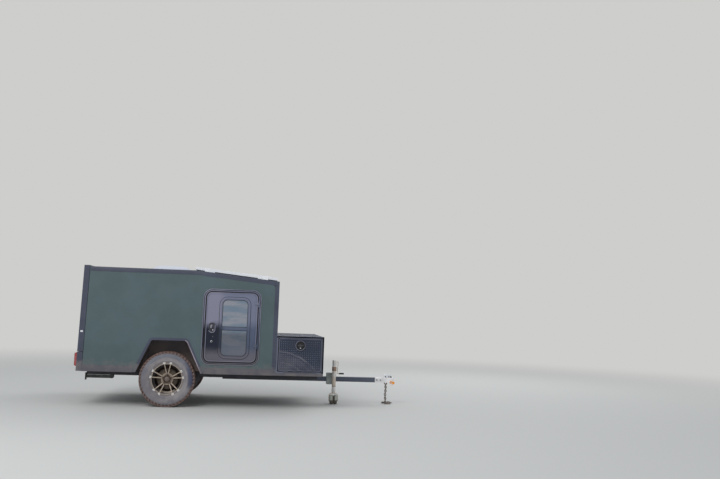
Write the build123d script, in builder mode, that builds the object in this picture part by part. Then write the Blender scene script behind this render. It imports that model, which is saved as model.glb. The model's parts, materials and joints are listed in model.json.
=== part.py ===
"""Squareback teardrop trailer, built as separate pieces, in millimetres.

+X points to the coupler, +Y to the trailer's left, +Z up. The trailer stands on its
two wheels and its tongue jack on the plane Z = 0, level, with the middle of its length
and width over the origin.
"""
import os
from math import atan2, cos, radians, sin, tan

from build123d import *

os.makedirs("parts", exist_ok=True)

# Body shell
body_length = 2438.0        # rear face at its foot to the front wall's outer face
body_width = 1829.0
body_bottom = 423.0         # lower edge of the side walls over the ground
rear_height = 1286.0        # side wall's height at the rear
front_height = 1184.0       # side wall's height at the front
bend_from_rear = 1397.0     # where the level roof starts to fall
rear_rake = 21.0            # lean of the rear face over its height
wall_thick = 38.0
roof_thick = 38.0
floor_thick = 20.0
bulkhead_from_rear = 480.0
counter_level = 920.0       # galley boards over the ground
shelf_level = 1330.0
board_thick = 18.0          # inner plywood boards
panel_gap = 0.3             # clearance between pieces that are seated on each other

# Steel frame
rail_width = 50.8
rail_height = 76.2
tube_wall = 3.2
rail_inset = 324.5          # rail's middle inside the side wall's plane
rail_top_rise = 15.0        # rail top over the side walls' lower edge
frame_setback = 50.0        # from the deck's front edge to the rails' ends
cross_member_count = 6
tongue_width = 76.2
tongue_height = 63.5
tongue_under_body = 700.0   # how far the tongue reaches back under the body

# Wheels and axle
axle_from_rear = 1093.0
tyre_diameter = 689.0
tyre_width = 205.0
tyre_inset = 10.0           # tyre's outer face inside the side wall's plane
rim_diameter = 381.0        # bead seat
rim_lip = 17.5              # lip's height over the bead seat
rim_width = 152.4           # between the lips
rim_wall = 6.0
rim_well_depth = 26.0       # drop of the well under the bead seat
rim_well_slope = 12.0       # run of the well's sides
rim_rear_seat = 34.0        # bead seat's width behind the well
rim_front_seat = 52.0       # and ahead of it
spoke_pairs = 5
spoke_half_angle = 12.0     # between a pair's middle and each spoke's tip
spoke_root_gap = 2.0        # half the gap between a pair at the hub
spoke_crown = 0.7           # front edge's share of a spoke's width
spoke_pad_radius = 200.0    # tips, over the lip's face
cap_radius = 42.0
cap_crown = 8.0             # rounding of the cap's edge
cap_rise = 12.0             # cap's straight side over the pad
cap_dish = 1.5              # recess inside the cap's ring
pad_radius = 74.0           # wheel's mounting pad
pad_back = 20.0             # its back outside the tyre's middle plane
pad_front = 42.0
stud_circle = 57.15
stud_count = 5
stud_radius = 6.0
stud_length = 18.0          # over the pad
stud_clearance = 1.0
nut_radius = 10.5
nut_height = 15.0
drum_radius = 128.0
drum_back = -60.0           # drum's back inside the tyre's middle plane
drum_front = 4.0
drum_plate_gap = 6.0        # between the drum and its backing plate
drum_plate_thick = 3.0
drum_plate_rim = 4.0        # plate's edge outside the drum
tyre_tread_drop = 4.0       # shoulder's drop under the crown
tyre_shoulder = 26.0        # shoulder's run from the sidewall
tyre_shoulder_drop = 22.0
tyre_edge_run = 12.0
spindle_radius = 19.0
spindle_clearance = 0.3
axle_tube_size = 64.0
arm_length = 152.0
arm_thick = 28.0
arm_setback = 119.0         # arm's outer face inside the tyre's middle plane

spindle_boss = 12.0         # arm's metal round the spindle
tube_boss = 0.55            # arm's end round the axle tube, as a share of the tube

# Wheel arch opening in the side wall
arch_bottom_width = 803.0
arch_bottom_shift = 15.0    # middle of the opening's foot ahead of the axle
arch_top_width = 434.0
arch_top_shift = 6.0
arch_top = 826.0            # over the ground
arch_corner = 45.0
wheel_box_wall = 12.0
wheel_box_depth = 254.5     # from the side wall's plane to the box's far side

# Cabin doors
door_flange_length = 725.0
door_flange_height = 953.0
door_flange_bottom = 535.0  # over the ground
door_from_axle = 763.5      # door's middle ahead of the axle
door_corner = 110.0
flange_width = 32.0
flange_plate = 3.0          # flange's flat web
flange_proud = 6.0          # its ridges over the wall
flange_ridges = ((1.5, 9.0), (17.0, 11.0))      # from the flange's edge, width
ridge_slope = 2.0           # bevel of every moulded ridge
slab_ridges = ((2.0, 10.0, 2.0), (20.0, 6.0, 1.5))      # from the door's edge, width, height
jamb_wall = 4.0
stop_width = 14.0
door_seal_gap = 5.0         # between the closed door and its stop
door_gap = 6.0
window_length = 320.0
window_height = 706.0
window_shift = 39.5         # window's middle ahead of the door's middle
window_bottom = 650.0       # over the ground
window_corner = 62.0
window_ring = 32.0
window_proud = 7.0
window_lip = 10.0           # flat lip round the glass
window_lip_drop = 3.0       # its step under the ring
window_bar = 38.0
window_bar_share = 0.6      # of the door's thickness
window_bar_height = 994.0   # middle of the bar over the ground
glass_thick = 5.0
glass_setback = 2.0         # glass inside the side wall's plane
latch_length = 86.0
latch_height = 132.0
latch_from_edge = 81.0
latch_level = 1000.0
latch_border = 9.0
latch_round = 0.4           # corners of the pan and paddle, as a share of their length
latch_recess = 9.0          # pan's floor under its border
paddle_length = 26.0
paddle_height = 84.0
deadbolt_radius = 15.0
deadbolt_proud = 5.0
deadbolt_drop = 172.0       # under the latch's middle
deadbolt_core = 8.0
deadbolt_taper = 20.0       # degrees
hinge_levels = (790.0, 1315.0)
hinge_standoff = 16.0       # pin's axis outside the side wall
hinge_radius = 8.0
hinge_pin_radius = 4.0
hinge_pin_clearance = 0.3
hinge_knuckle = 26.0
hinge_knuckle_gap = 1.0
hinge_offset = 14.0         # pin's axis ahead of the door's edge
strap_length = 48.0         # hinge strap on the door
strap_thick = 6.0
strap_foot = 24.0

# Rear hatch
hatch_depth = 65.0
hatch_skin = 38.0
hatch_frame = 70.0
hatch_gap = 5.0
hatch_bottom = 660.0        # over the ground
hatch_above_roof = 17.0
hatch_hinge_radius = 6.0
hatch_pin_radius = 2.5
hatch_pin_rise = 9.0        # pin's axis over the roof
hatch_pin_shift = 3.0       # pin's axis ahead of the roof's rear edge
hatch_knuckle_pitch = 200.0
hatch_leaf_width = 36.0
hatch_leaf_shift = 15.0     # leaf's middle ahead of the pin
hatch_latch_level = 907.0
hatch_latch_length = 30.0
hatch_latch_height = 22.0
hatch_latch_corner = 5.0
hatch_latch_proud = 8.0
lamp_proud = 25.0
lamp_width = 70.0
lamp_bottom = 480.0
lamp_height = 170.0
lamp_slant = 10.0           # slope of the lamp's upper and lower faces

# Front deck and toolbox
deck_length = 599.0
deck_skirt = 3.0
toolbox_top = 920.0
toolbox_wall = 3.0
toolbox_rim = 16.0          # border round the side door
toolbox_door_thick = 20.0
toolbox_door_gap = 5.0
toolbox_hinge_standoff = 6.0
toolbox_hinge_radius = 4.5
toolbox_latch_radius = 62.0
toolbox_latch_proud = 12.0
toolbox_latch_drop = 92.0   # from the door's upper edge to the latch's middle
toolbox_latch_rim = 11.0
toolbox_latch_floor = 2.0   # latch's dish over the door
toolbox_handle_length = 78.0
toolbox_handle_height = 18.0
toolbox_handle_boss = 17.0
toolbox_pin_radius = 2.0
toolbox_hinge_drop = 3.0    # hinge pin under the mouth's lower edge
toolbox_strap = 3.0         # hinge strap's thickness
toolbox_strap_height = 20.0
toolbox_foot = 8.0          # height of the strap's seat on the door
drop_pitch = 120.0          # from one hinge knuckle of the door to the next

# Roof vent
vent_from_axle = -102.5     # middle of the vent ahead of the axle
vent_lid_length = 517.0
vent_lid_width = 440.0
vent_lid_height = 82.0
vent_lid_wall = 3.0
vent_corner = 45.0
vent_opening = 356.0
vent_collar_wall = 10.0
vent_collar_height = 30.0
vent_flange_width = 30.0
vent_flange_thick = 4.0
vent_lid_lift = 14.0        # lid's lower edge over the roof
vent_lid_taper = 12.0
vent_lid_crown = 32.0       # rounding of the dome's upper edge
vent_pin_gap = 6.0          # hinge pin behind the lid's edge
vent_lug = 30.0             # hinge lug's width on the lid
vent_lug_place = 120.0      # its middle from the roof's middle
vent_ear = 6.0
vent_ear_gap = 1.0
vent_apron = 8.0            # flange under each hinge, past the lug on either side
vent_lug_bar = 6.0

# Solar panel
solar_length = 1048.0       # along the roof's slope
solar_inset = 64.5          # from the side wall's plane
solar_thick = 35.0
solar_gap = 15.0            # under the frame
solar_from_bend = -30.0     # rear edge behind (-) the roof's bend, along the slope
solar_border = 12.0
solar_glass_thick = 4.0
solar_bracket_width = 60.0
solar_bracket_thick = 3.0
solar_bracket_foot = 30.0
solar_bracket_inset = 150.0

# Tongue, coupler, jack and stabilisers
tongue_reach = 1069.0       # deck's front edge to the coupler's nose
coupler_length = 271.0
coupler_wall = 5.0
coupler_nose_wall = 15.0    # metal ahead of the socket
coupler_neck = 30.0         # straight sides past the tongue's end
coupler_round = 14.0
ball_diameter = 50.8
ball_clearance = 0.3
socket_straight = 24.3      # socket's straight wall under its dome
latch_back = 106.0          # latch's rear end behind the ball
latch_front = 10.0          # its nose ahead of the ball
latch_rise = 33.0           # its top over the coupler
latch_side = 18.0           # height of its folded sides
latch_slant = 13.0
latch_width = 44.0
latch_plate = 3.0
# Latch's leg and trigger: place from the ball, length, width, gap over the coupler
latch_posts = ((-41.0, 22.0, 20.0, panel_gap), (1.0, 5.0, 12.0, 6.0))
chain_wire = 8.0
link_length = 46.0
link_width = 30.0
link_count = 8
chain_back = 112.0          # chains behind the coupler's nose
chain_from_middle = 26.0
bolt_wire = 9.0
bolt_half = 14.0            # half the U-bolt's span
bolt_drop = 16.0
wire_facets = 6
jack_from_deck = 217.0
jack_tube_radius = 25.4
jack_tube_wall = 3.0
jack_top = 592.0
jack_tube_bottom = 158.0
jack_leg_clearance = 0.3     # all round, in the tube
jack_from_middle = 125.0
jack_pivot_level = 380.0
bracket_back = 96.0         # bracket's plates behind the jack's middle
bracket_front = 30.0
bracket_drop = 40.0         # under the tongue
bracket_thick = 8.0
bracket_corner = 10.0
bracket_margin = 4.0        # plate round the pivot
bracket_bolt_inset = 16.0
bracket_bolt_gap = 12.0     # over and under the tongue
bracket_bolt_radius = 5.0
bracket_bolt_proud = 10.0
boss_radius = 28.0
boss_end = 70.0             # pivot's face from the trailer's middle
head_height = 38.0
head_rim = 2.0
crank_reach = 52.0          # crank arm from the jack's middle
crank_drop = 160.0
crank_lean = 10.0
crank_radius = 6.0
grip_radius = 10.0
grip_length = 78.0
leg_reveal = 10.0           # leg under the tube's foot
leg_head_gap = 40.0
leg_plug = 8.0
caster_diameter = 120.0
caster_width = 96.0
caster_fork_width = 127.0
caster_fork_plate = 8.0
caster_pin_radius = 6.0
caster_groove = 12.0        # groove between the two treads
caster_groove_half = 7.0
caster_edge = 6.0
caster_hub_radius = 38.0
crown_thick = 12.0
crown_half = 30.0
fork_depth = 44.0
fork_bow_drop = 42.0        # under the crown
fork_under_pin = 18.0
fork_pin_proud = 4.0
stabiliser_length = 320.0
stabiliser_from_rear = 380.0
stabiliser_tube = 38.0
stabiliser_drop = 5.0
stabiliser_foot = 90.0
stabiliser_foot_width = 81.0
stabiliser_foot_corner = 8.0
stabiliser_pad = 5.0
ear_thick = 6.0
ear_gap = 1.0
ear_rim = 2.0

# Places worked out from the sizes above
half_width = body_width / 2
overall_length = lamp_proud + body_length + deck_length + tongue_reach
rear_x = lamp_proud - overall_length / 2
front_x = rear_x + body_length
deck_x = front_x + deck_length
nose_x = deck_x + tongue_reach
axle_x = rear_x + axle_from_rear
axle_z = tyre_diameter / 2
bend_x = rear_x + bend_from_rear
roof_rear_z = body_bottom + rear_height
roof_front_z = body_bottom + front_height
rail_top = body_bottom + rail_top_rise
rail_bottom = rail_top - rail_height
frame_x = deck_x - frame_setback
floor_top = rail_top + floor_thick
wall_setback = hatch_depth + hatch_gap      # side wall's rear edge ahead of the rear face
roof_slope = atan2(roof_rear_z - roof_front_z, front_x - bend_x)
inner_half = half_width - wall_thick
rail_spacing = body_width - 2 * rail_inset
wheel_box_inner = half_width - wheel_box_depth
solar_width = body_width - 2 * solar_inset
sides = ((-1, "right"), (1, "left"))


def rear_face(z):
    """X of the raked rear face at height z."""
    return rear_x + rear_rake * (z - body_bottom) / rear_height


def roof_z(x):
    """Height of the roof's upper face at x."""
    return roof_rear_z - max(0.0, x - bend_x) * tan(roof_slope)


def side_plane(side, inset=0.0):
    """Upright plane along a side wall, local x along +X and local y along +Z.

    A positive inset moves it inwards. Extruding by side * depth goes inwards too.
    """
    return Plane.XZ.offset(-side * (half_width - inset))


def keep(builder, name):
    """Label the finished piece and write it."""
    builder.part.label = name
    export_step(builder.part, f"parts/{name}.step")


def side_block(side, outer, depth, place, size, corner, mode=Mode.ADD):
    """Add or cut a rounded block at a side wall, from outer outside the wall inwards by depth."""
    with BuildSketch(side_plane(side, -outer)) as outline:
        with Locations(place):
            RectangleRounded(*size, corner)
    extrude(outline.sketch, amount=side * depth, mode=mode)


def side_ridge(side, base, rise, place, size, corner, width):
    """Add a moulded ridge that runs round a rounded outline, over a face at base outside the wall."""
    with BuildSketch(side_plane(side, -base)) as outline:
        with Locations(place):
            RectangleRounded(*size, corner)
            RectangleRounded(size[0] - 2 * width, size[1] - 2 * width, corner - width, mode=Mode.SUBTRACT)
    extrude(outline.sketch, amount=-side * rise)


def crest(builder, side):
    """Edges of the last form that stand furthest out at a side wall."""
    return builder.edges(Select.LAST).group_by(Axis.Y)[0 if side < 0 else -1]


# Frame rails: two box tubes under the floor
rail_x = rear_x + wall_setback
with BuildPart() as frame_rails:
    with BuildSketch(Plane.YZ.offset(rail_x)):
        with Locations(*[(side * rail_spacing / 2, rail_top - rail_height / 2) for side, _ in sides]):
            Rectangle(rail_width, rail_height)
            Rectangle(rail_width - 2 * tube_wall, rail_height - 2 * tube_wall, mode=Mode.SUBTRACT)
    extrude(amount=frame_x - rail_x)
keep(frame_rails, "frame_rails")

# Cross members: box tubes set between the rails
rail_inner = rail_spacing / 2 - rail_width / 2
member_pitch = (frame_x - rail_x - rail_width) / (cross_member_count - 1)
member_places = [rail_x + rail_width / 2 + n * member_pitch for n in range(cross_member_count)]
with BuildPart() as cross_members:
    with BuildSketch(Plane.XZ.offset(-rail_inner)):
        with Locations(*[(x, rail_top - rail_height / 2) for x in member_places]):
            Rectangle(rail_width, rail_height)
            Rectangle(rail_width - 2 * tube_wall, rail_height - 2 * tube_wall, mode=Mode.SUBTRACT)
    extrude(amount=2 * rail_inner)
keep(cross_members, "cross_members")

# Tongue: one box tube under the cross members, out to the coupler
tongue_x = front_x - tongue_under_body
tongue_end = nose_x - coupler_length * 0.45
tongue_level = rail_bottom - tongue_height / 2
with BuildPart() as tongue_tube:
    with BuildSketch(Plane.YZ.offset(tongue_x)):
        with Locations((0, tongue_level)):
            RectangleRounded(tongue_width, tongue_height, tube_wall * 2)
            RectangleRounded(
                tongue_width - 2 * tube_wall, tongue_height - 2 * tube_wall, tube_wall, mode=Mode.SUBTRACT
            )
    extrude(amount=tongue_end - tongue_x)
keep(tongue_tube, "tongue_tube")

# Floor between the side walls, cut out over the wheels
floor_x = rear_x + wall_setback
arch_room = arch_bottom_width / 2 + wheel_box_wall + panel_gap
with BuildPart() as floor_pan:
    with BuildSketch(Plane.XY.offset(rail_top)):
        with Locations(((floor_x + front_x) / 2, 0)):
            Rectangle(front_x - floor_x, 2 * (inner_half - panel_gap))
        for side, _ in sides:
            with Locations((axle_x + arch_bottom_shift, side * (wheel_box_inner - panel_gap + inner_half) / 2)):
                Rectangle(2 * arch_room, inner_half - wheel_box_inner + panel_gap, mode=Mode.SUBTRACT)
    extrude(amount=floor_thick)
keep(floor_pan, "floor_pan")


def arch_points(margin, foot):
    """Corners of the wheel arch opening, grown by margin, from the height foot up."""
    low, high = arch_bottom_width / 2, arch_top_width / 2
    grow = (low - high) / (arch_top - body_bottom) * (body_bottom - foot)
    return [
        (axle_x + arch_bottom_shift - low - margin - grow, foot),
        (axle_x + arch_top_shift - high - margin, arch_top + margin),
        (axle_x + arch_top_shift + high + margin, arch_top + margin),
        (axle_x + arch_bottom_shift + low + margin + grow, foot),
    ]


def side_profile(inset_rear, inset_front, foot, drop=0.0):
    """Corners of the body's outline, its roof lowered by drop."""
    return [
        (rear_face(foot) + inset_rear, foot),
        (rear_face(roof_rear_z) + inset_rear, roof_rear_z - drop),
        (bend_x, roof_rear_z - drop),
        (front_x - inset_front, roof_z(front_x - inset_front) - drop),
        (front_x - inset_front, foot),
    ]


# Side walls, each with its wheel arch and its door opening
door_x = axle_x + door_from_axle
door_z = door_flange_bottom + door_flange_height / 2
opening_length = door_flange_length - 2 * flange_width
opening_height = door_flange_height - 2 * flange_width
opening_corner = door_corner - flange_width
for side, hand in sides:
    with BuildPart() as side_wall:
        with BuildSketch(side_plane(side)):
            with BuildLine():
                Polyline(*side_profile(wall_setback, 0, body_bottom), close=True)
            make_face()
            with BuildSketch(mode=Mode.SUBTRACT) as arch:
                with BuildLine():
                    Polyline(*arch_points(0, body_bottom - floor_thick), close=True)
                make_face()
                fillet(arch.vertices().group_by(Axis.Y)[-1], radius=arch_corner)
            with Locations((door_x, door_z)):
                RectangleRounded(opening_length, opening_height, opening_corner, mode=Mode.SUBTRACT)
        extrude(amount=side * wall_thick)
    keep(side_wall, f"side_wall_{hand}")

# Front wall under the sloping roof
with BuildPart() as front_wall:
    with BuildSketch(Plane.XZ.offset(-(inner_half - panel_gap))):
        inner_x = front_x - wall_thick
        with BuildLine():
            Polyline(
                (inner_x, floor_top + panel_gap),
                (inner_x, roof_z(inner_x) - roof_thick - panel_gap),
                (front_x, roof_z(front_x) - roof_thick - panel_gap),
                (front_x, floor_top + panel_gap),
                close=True,
            )
        make_face()
    extrude(amount=2 * (inner_half - panel_gap))
keep(front_wall, "front_wall")

# Roof, level and then sloping, between the side walls, with the vent's opening
vent_x = axle_x + vent_from_axle
with BuildPart() as roof_panel:
    with BuildSketch(Plane.XZ.offset(-(inner_half - panel_gap))):
        with BuildLine():
            Polyline(
                (rear_face(roof_rear_z) + wall_setback, roof_rear_z),
                (bend_x, roof_rear_z),
                (front_x, roof_front_z),
                (front_x, roof_front_z - roof_thick),
                (bend_x, roof_rear_z - roof_thick),
                (rear_face(roof_rear_z) + wall_setback, roof_rear_z - roof_thick),
                close=True,
            )
        make_face()
    extrude(amount=2 * (inner_half - panel_gap))
    with BuildSketch(Plane.XY.offset(roof_rear_z)):
        with Locations((vent_x, 0)):
            Rectangle(vent_opening, vent_opening)
    extrude(amount=-roof_thick, mode=Mode.SUBTRACT)
keep(roof_panel, "roof_panel")

# Bulkhead between the cabin and the galley, and the galley's two boards
bulkhead_x = rear_x + bulkhead_from_rear
board_front = bulkhead_x - panel_gap
board_rear = rear_x + wall_setback + hatch_frame
with BuildPart() as bulkhead:
    with BuildSketch(Plane.YZ.offset(bulkhead_x)):
        with Locations((0, (floor_top + roof_rear_z - roof_thick) / 2)):
            Rectangle(2 * (inner_half - panel_gap), roof_rear_z - roof_thick - floor_top - 2 * panel_gap)
    extrude(amount=board_thick)
keep(bulkhead, "bulkhead")

with BuildPart() as galley_shelves:
    for level in (counter_level, shelf_level):
        with BuildSketch(Plane.XY.offset(level)):
            with Locations(((board_rear + board_front) / 2, 0)):
                Rectangle(board_front - board_rear, 2 * (inner_half - panel_gap))
        extrude(amount=board_thick)
keep(galley_shelves, "galley_shelves")

# Wheel boxes: the housings over the tyres, inside the walls
with BuildPart() as wheel_boxes:
    for side, _ in sides:
        depth = inner_half - panel_gap - wheel_box_inner
        with BuildSketch(side_plane(side, wall_thick + panel_gap)):
            with BuildLine():
                Polyline(*arch_points(wheel_box_wall, rail_top), close=True)
            make_face()
        extrude(amount=side * depth)
        with BuildSketch(side_plane(side, wall_thick + panel_gap)):
            with BuildLine():
                Polyline(*arch_points(0, rail_top - 1), close=True)
            make_face()
        extrude(amount=side * (depth - wheel_box_wall), mode=Mode.SUBTRACT)
keep(wheel_boxes, "wheel_boxes")

# Rear valance under the hatch, with the tail lamps on it
valance_top = hatch_bottom - hatch_gap
with BuildPart() as rear_valance:
    with BuildSketch(side_plane(1)):
        with BuildLine():
            Polyline(
                (rear_face(body_bottom), body_bottom),
                (rear_face(valance_top), valance_top),
                (rear_face(valance_top) + hatch_depth, valance_top),
                (rear_face(body_bottom) + wall_setback - panel_gap, body_bottom),
                close=True,
            )
        make_face()
    extrude(amount=body_width)
keep(rear_valance, "rear_valance")

with BuildPart() as tail_lamps:
    for side, _ in sides:
        with BuildSketch(side_plane(side)):
            with BuildLine():
                Polyline(
                    (rear_face(lamp_bottom) - panel_gap, lamp_bottom),
                    (rear_face(lamp_bottom + lamp_height) - panel_gap, lamp_bottom + lamp_height),
                    (rear_x - lamp_proud, lamp_bottom + lamp_height - lamp_slant),
                    (rear_x - lamp_proud, lamp_bottom + lamp_slant),
                    close=True,
                )
            make_face()
        extrude(amount=side * lamp_width)
keep(tail_lamps, "tail_lamps")

# Hatch: a deep frame round a thinner skin, open on its inner side
hatch_top = roof_rear_z + hatch_above_roof
with BuildPart() as hatch_panel:
    with BuildSketch(side_plane(1)):
        with BuildLine():
            Polyline(
                (rear_face(hatch_bottom), hatch_bottom),
                (rear_face(hatch_top), hatch_top),
                (rear_face(hatch_top) + hatch_depth, hatch_top),
                (rear_face(hatch_bottom) + hatch_depth, hatch_bottom),
                close=True,
            )
        make_face()
    extrude(amount=body_width)
    with BuildSketch(side_plane(1, hatch_frame)):
        low, high = hatch_bottom + hatch_frame, roof_rear_z - roof_thick - hatch_frame
        with BuildLine():
            Polyline(
                (rear_face(low) + hatch_skin, low),
                (rear_face(high) + hatch_skin, high),
                (rear_face(high) + hatch_depth + 1, high),
                (rear_face(low) + hatch_depth + 1, low),
                close=True,
            )
        make_face()
    extrude(amount=body_width - 2 * hatch_frame, mode=Mode.SUBTRACT)
    hinge_x = rear_face(roof_rear_z) + wall_setback + hatch_pin_shift
    hinge_z = roof_rear_z + hatch_pin_rise
    knuckle_count = int(body_width // hatch_knuckle_pitch) - 1
    knuckle_length = hatch_knuckle_pitch / 2 - hinge_knuckle_gap
    first_knuckle = -(knuckle_count - 1) * hatch_knuckle_pitch / 2
    for n in range(knuckle_count):
        with BuildSketch(Plane.XZ.offset(-(first_knuckle + n * hatch_knuckle_pitch + knuckle_length / 2))):
            with Locations((hinge_x, hinge_z)):
                Circle(hatch_hinge_radius)
            with Locations((hinge_x - (hatch_hinge_radius + hatch_gap) / 2, hinge_z)):
                Rectangle(hatch_hinge_radius + hatch_gap, 2 * hatch_pin_radius)
            with Locations((hinge_x, hinge_z)):
                Circle(hatch_pin_radius + hinge_pin_clearance, mode=Mode.SUBTRACT)
        extrude(amount=knuckle_length)
keep(hatch_panel, "hatch_panel")

# Hatch hinge: the leaf on the roof, its knuckles and the pin through them all
with BuildPart() as hatch_hinge:
    leaf_length = (knuckle_count - 1) * hatch_knuckle_pitch + knuckle_length
    with BuildSketch(Plane.XZ.offset(-leaf_length / 2)):
        with Locations((hinge_x, hinge_z)):
            Circle(hatch_pin_radius)
    extrude(amount=leaf_length)
    for n in range(knuckle_count - 1):
        middle = first_knuckle + (n + 0.5) * hatch_knuckle_pitch
        with BuildSketch(Plane.XZ.offset(-(middle + knuckle_length / 2))):
            with Locations((hinge_x, hinge_z)):
                Circle(hatch_hinge_radius)
            with Locations((hinge_x, (hinge_z + roof_rear_z) / 2)):
                Rectangle(2 * hatch_pin_radius, hinge_z - roof_rear_z)
        extrude(amount=knuckle_length)
    with BuildSketch(Plane.XZ.offset(-leaf_length / 2)):
        leaf_rise = hatch_pin_rise - hatch_hinge_radius - hinge_knuckle_gap
        with Locations((hinge_x + hatch_leaf_shift, roof_rear_z + leaf_rise / 2)):
            Rectangle(hatch_leaf_width, leaf_rise)
    extrude(amount=leaf_length)
keep(hatch_hinge, "hatch_hinge")

# Hatch latches on the hatch's side edges
with BuildPart() as hatch_latches:
    for side, _ in sides:
        with BuildSketch(side_plane(side, -panel_gap)):
            with Locations((rear_face(hatch_latch_level) + hatch_depth / 2, hatch_latch_level)):
                RectangleRounded(hatch_latch_length, hatch_latch_height, hatch_latch_corner)
        extrude(amount=-side * hatch_latch_proud)
keep(hatch_latches, "hatch_latches")


# Cabin doors: a flanged frame set through each side wall, and the door inside it
door_middle = (door_x, door_z)
door_outer = flange_proud                                      # door's face outside the wall
door_thick = wall_thick + door_outer - jamb_wall - door_seal_gap
frame_length = opening_length - 2 * panel_gap
frame_height = opening_height - 2 * panel_gap
frame_corner = opening_corner - panel_gap
slab_length = frame_length - 2 * (jamb_wall + door_gap)
slab_height = frame_height - 2 * (jamb_wall + door_gap)
slab_corner = frame_corner - jamb_wall - door_gap
hinge_pin_x = door_x + slab_length / 2 + hinge_offset
hinge_pin_out = half_width + hinge_standoff
window_middle = (door_x + window_shift, window_bottom + window_height / 2)
latch_x = door_x - slab_length / 2 + latch_from_edge
latch_middle = (latch_x, latch_level)


def inner_size(size, margin):
    """Length and height of an outline with a margin taken off all round."""
    return (size[0] - 2 * margin, size[1] - 2 * margin)


def hinge_knuckle_at(side, bottom, height, seat):
    """Add one knuckle of a door hinge, with its block down to the face at seat outside the wall."""
    with BuildSketch(Plane.XY.offset(bottom)) as outline:
        with Locations((hinge_pin_x, side * hinge_pin_out)):
            Circle(hinge_radius)
        with Locations((hinge_pin_x, side * (half_width + (hinge_standoff + seat) / 2))):
            Rectangle(2 * hinge_radius, hinge_standoff - seat)
    extrude(outline.sketch, amount=height)


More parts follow.
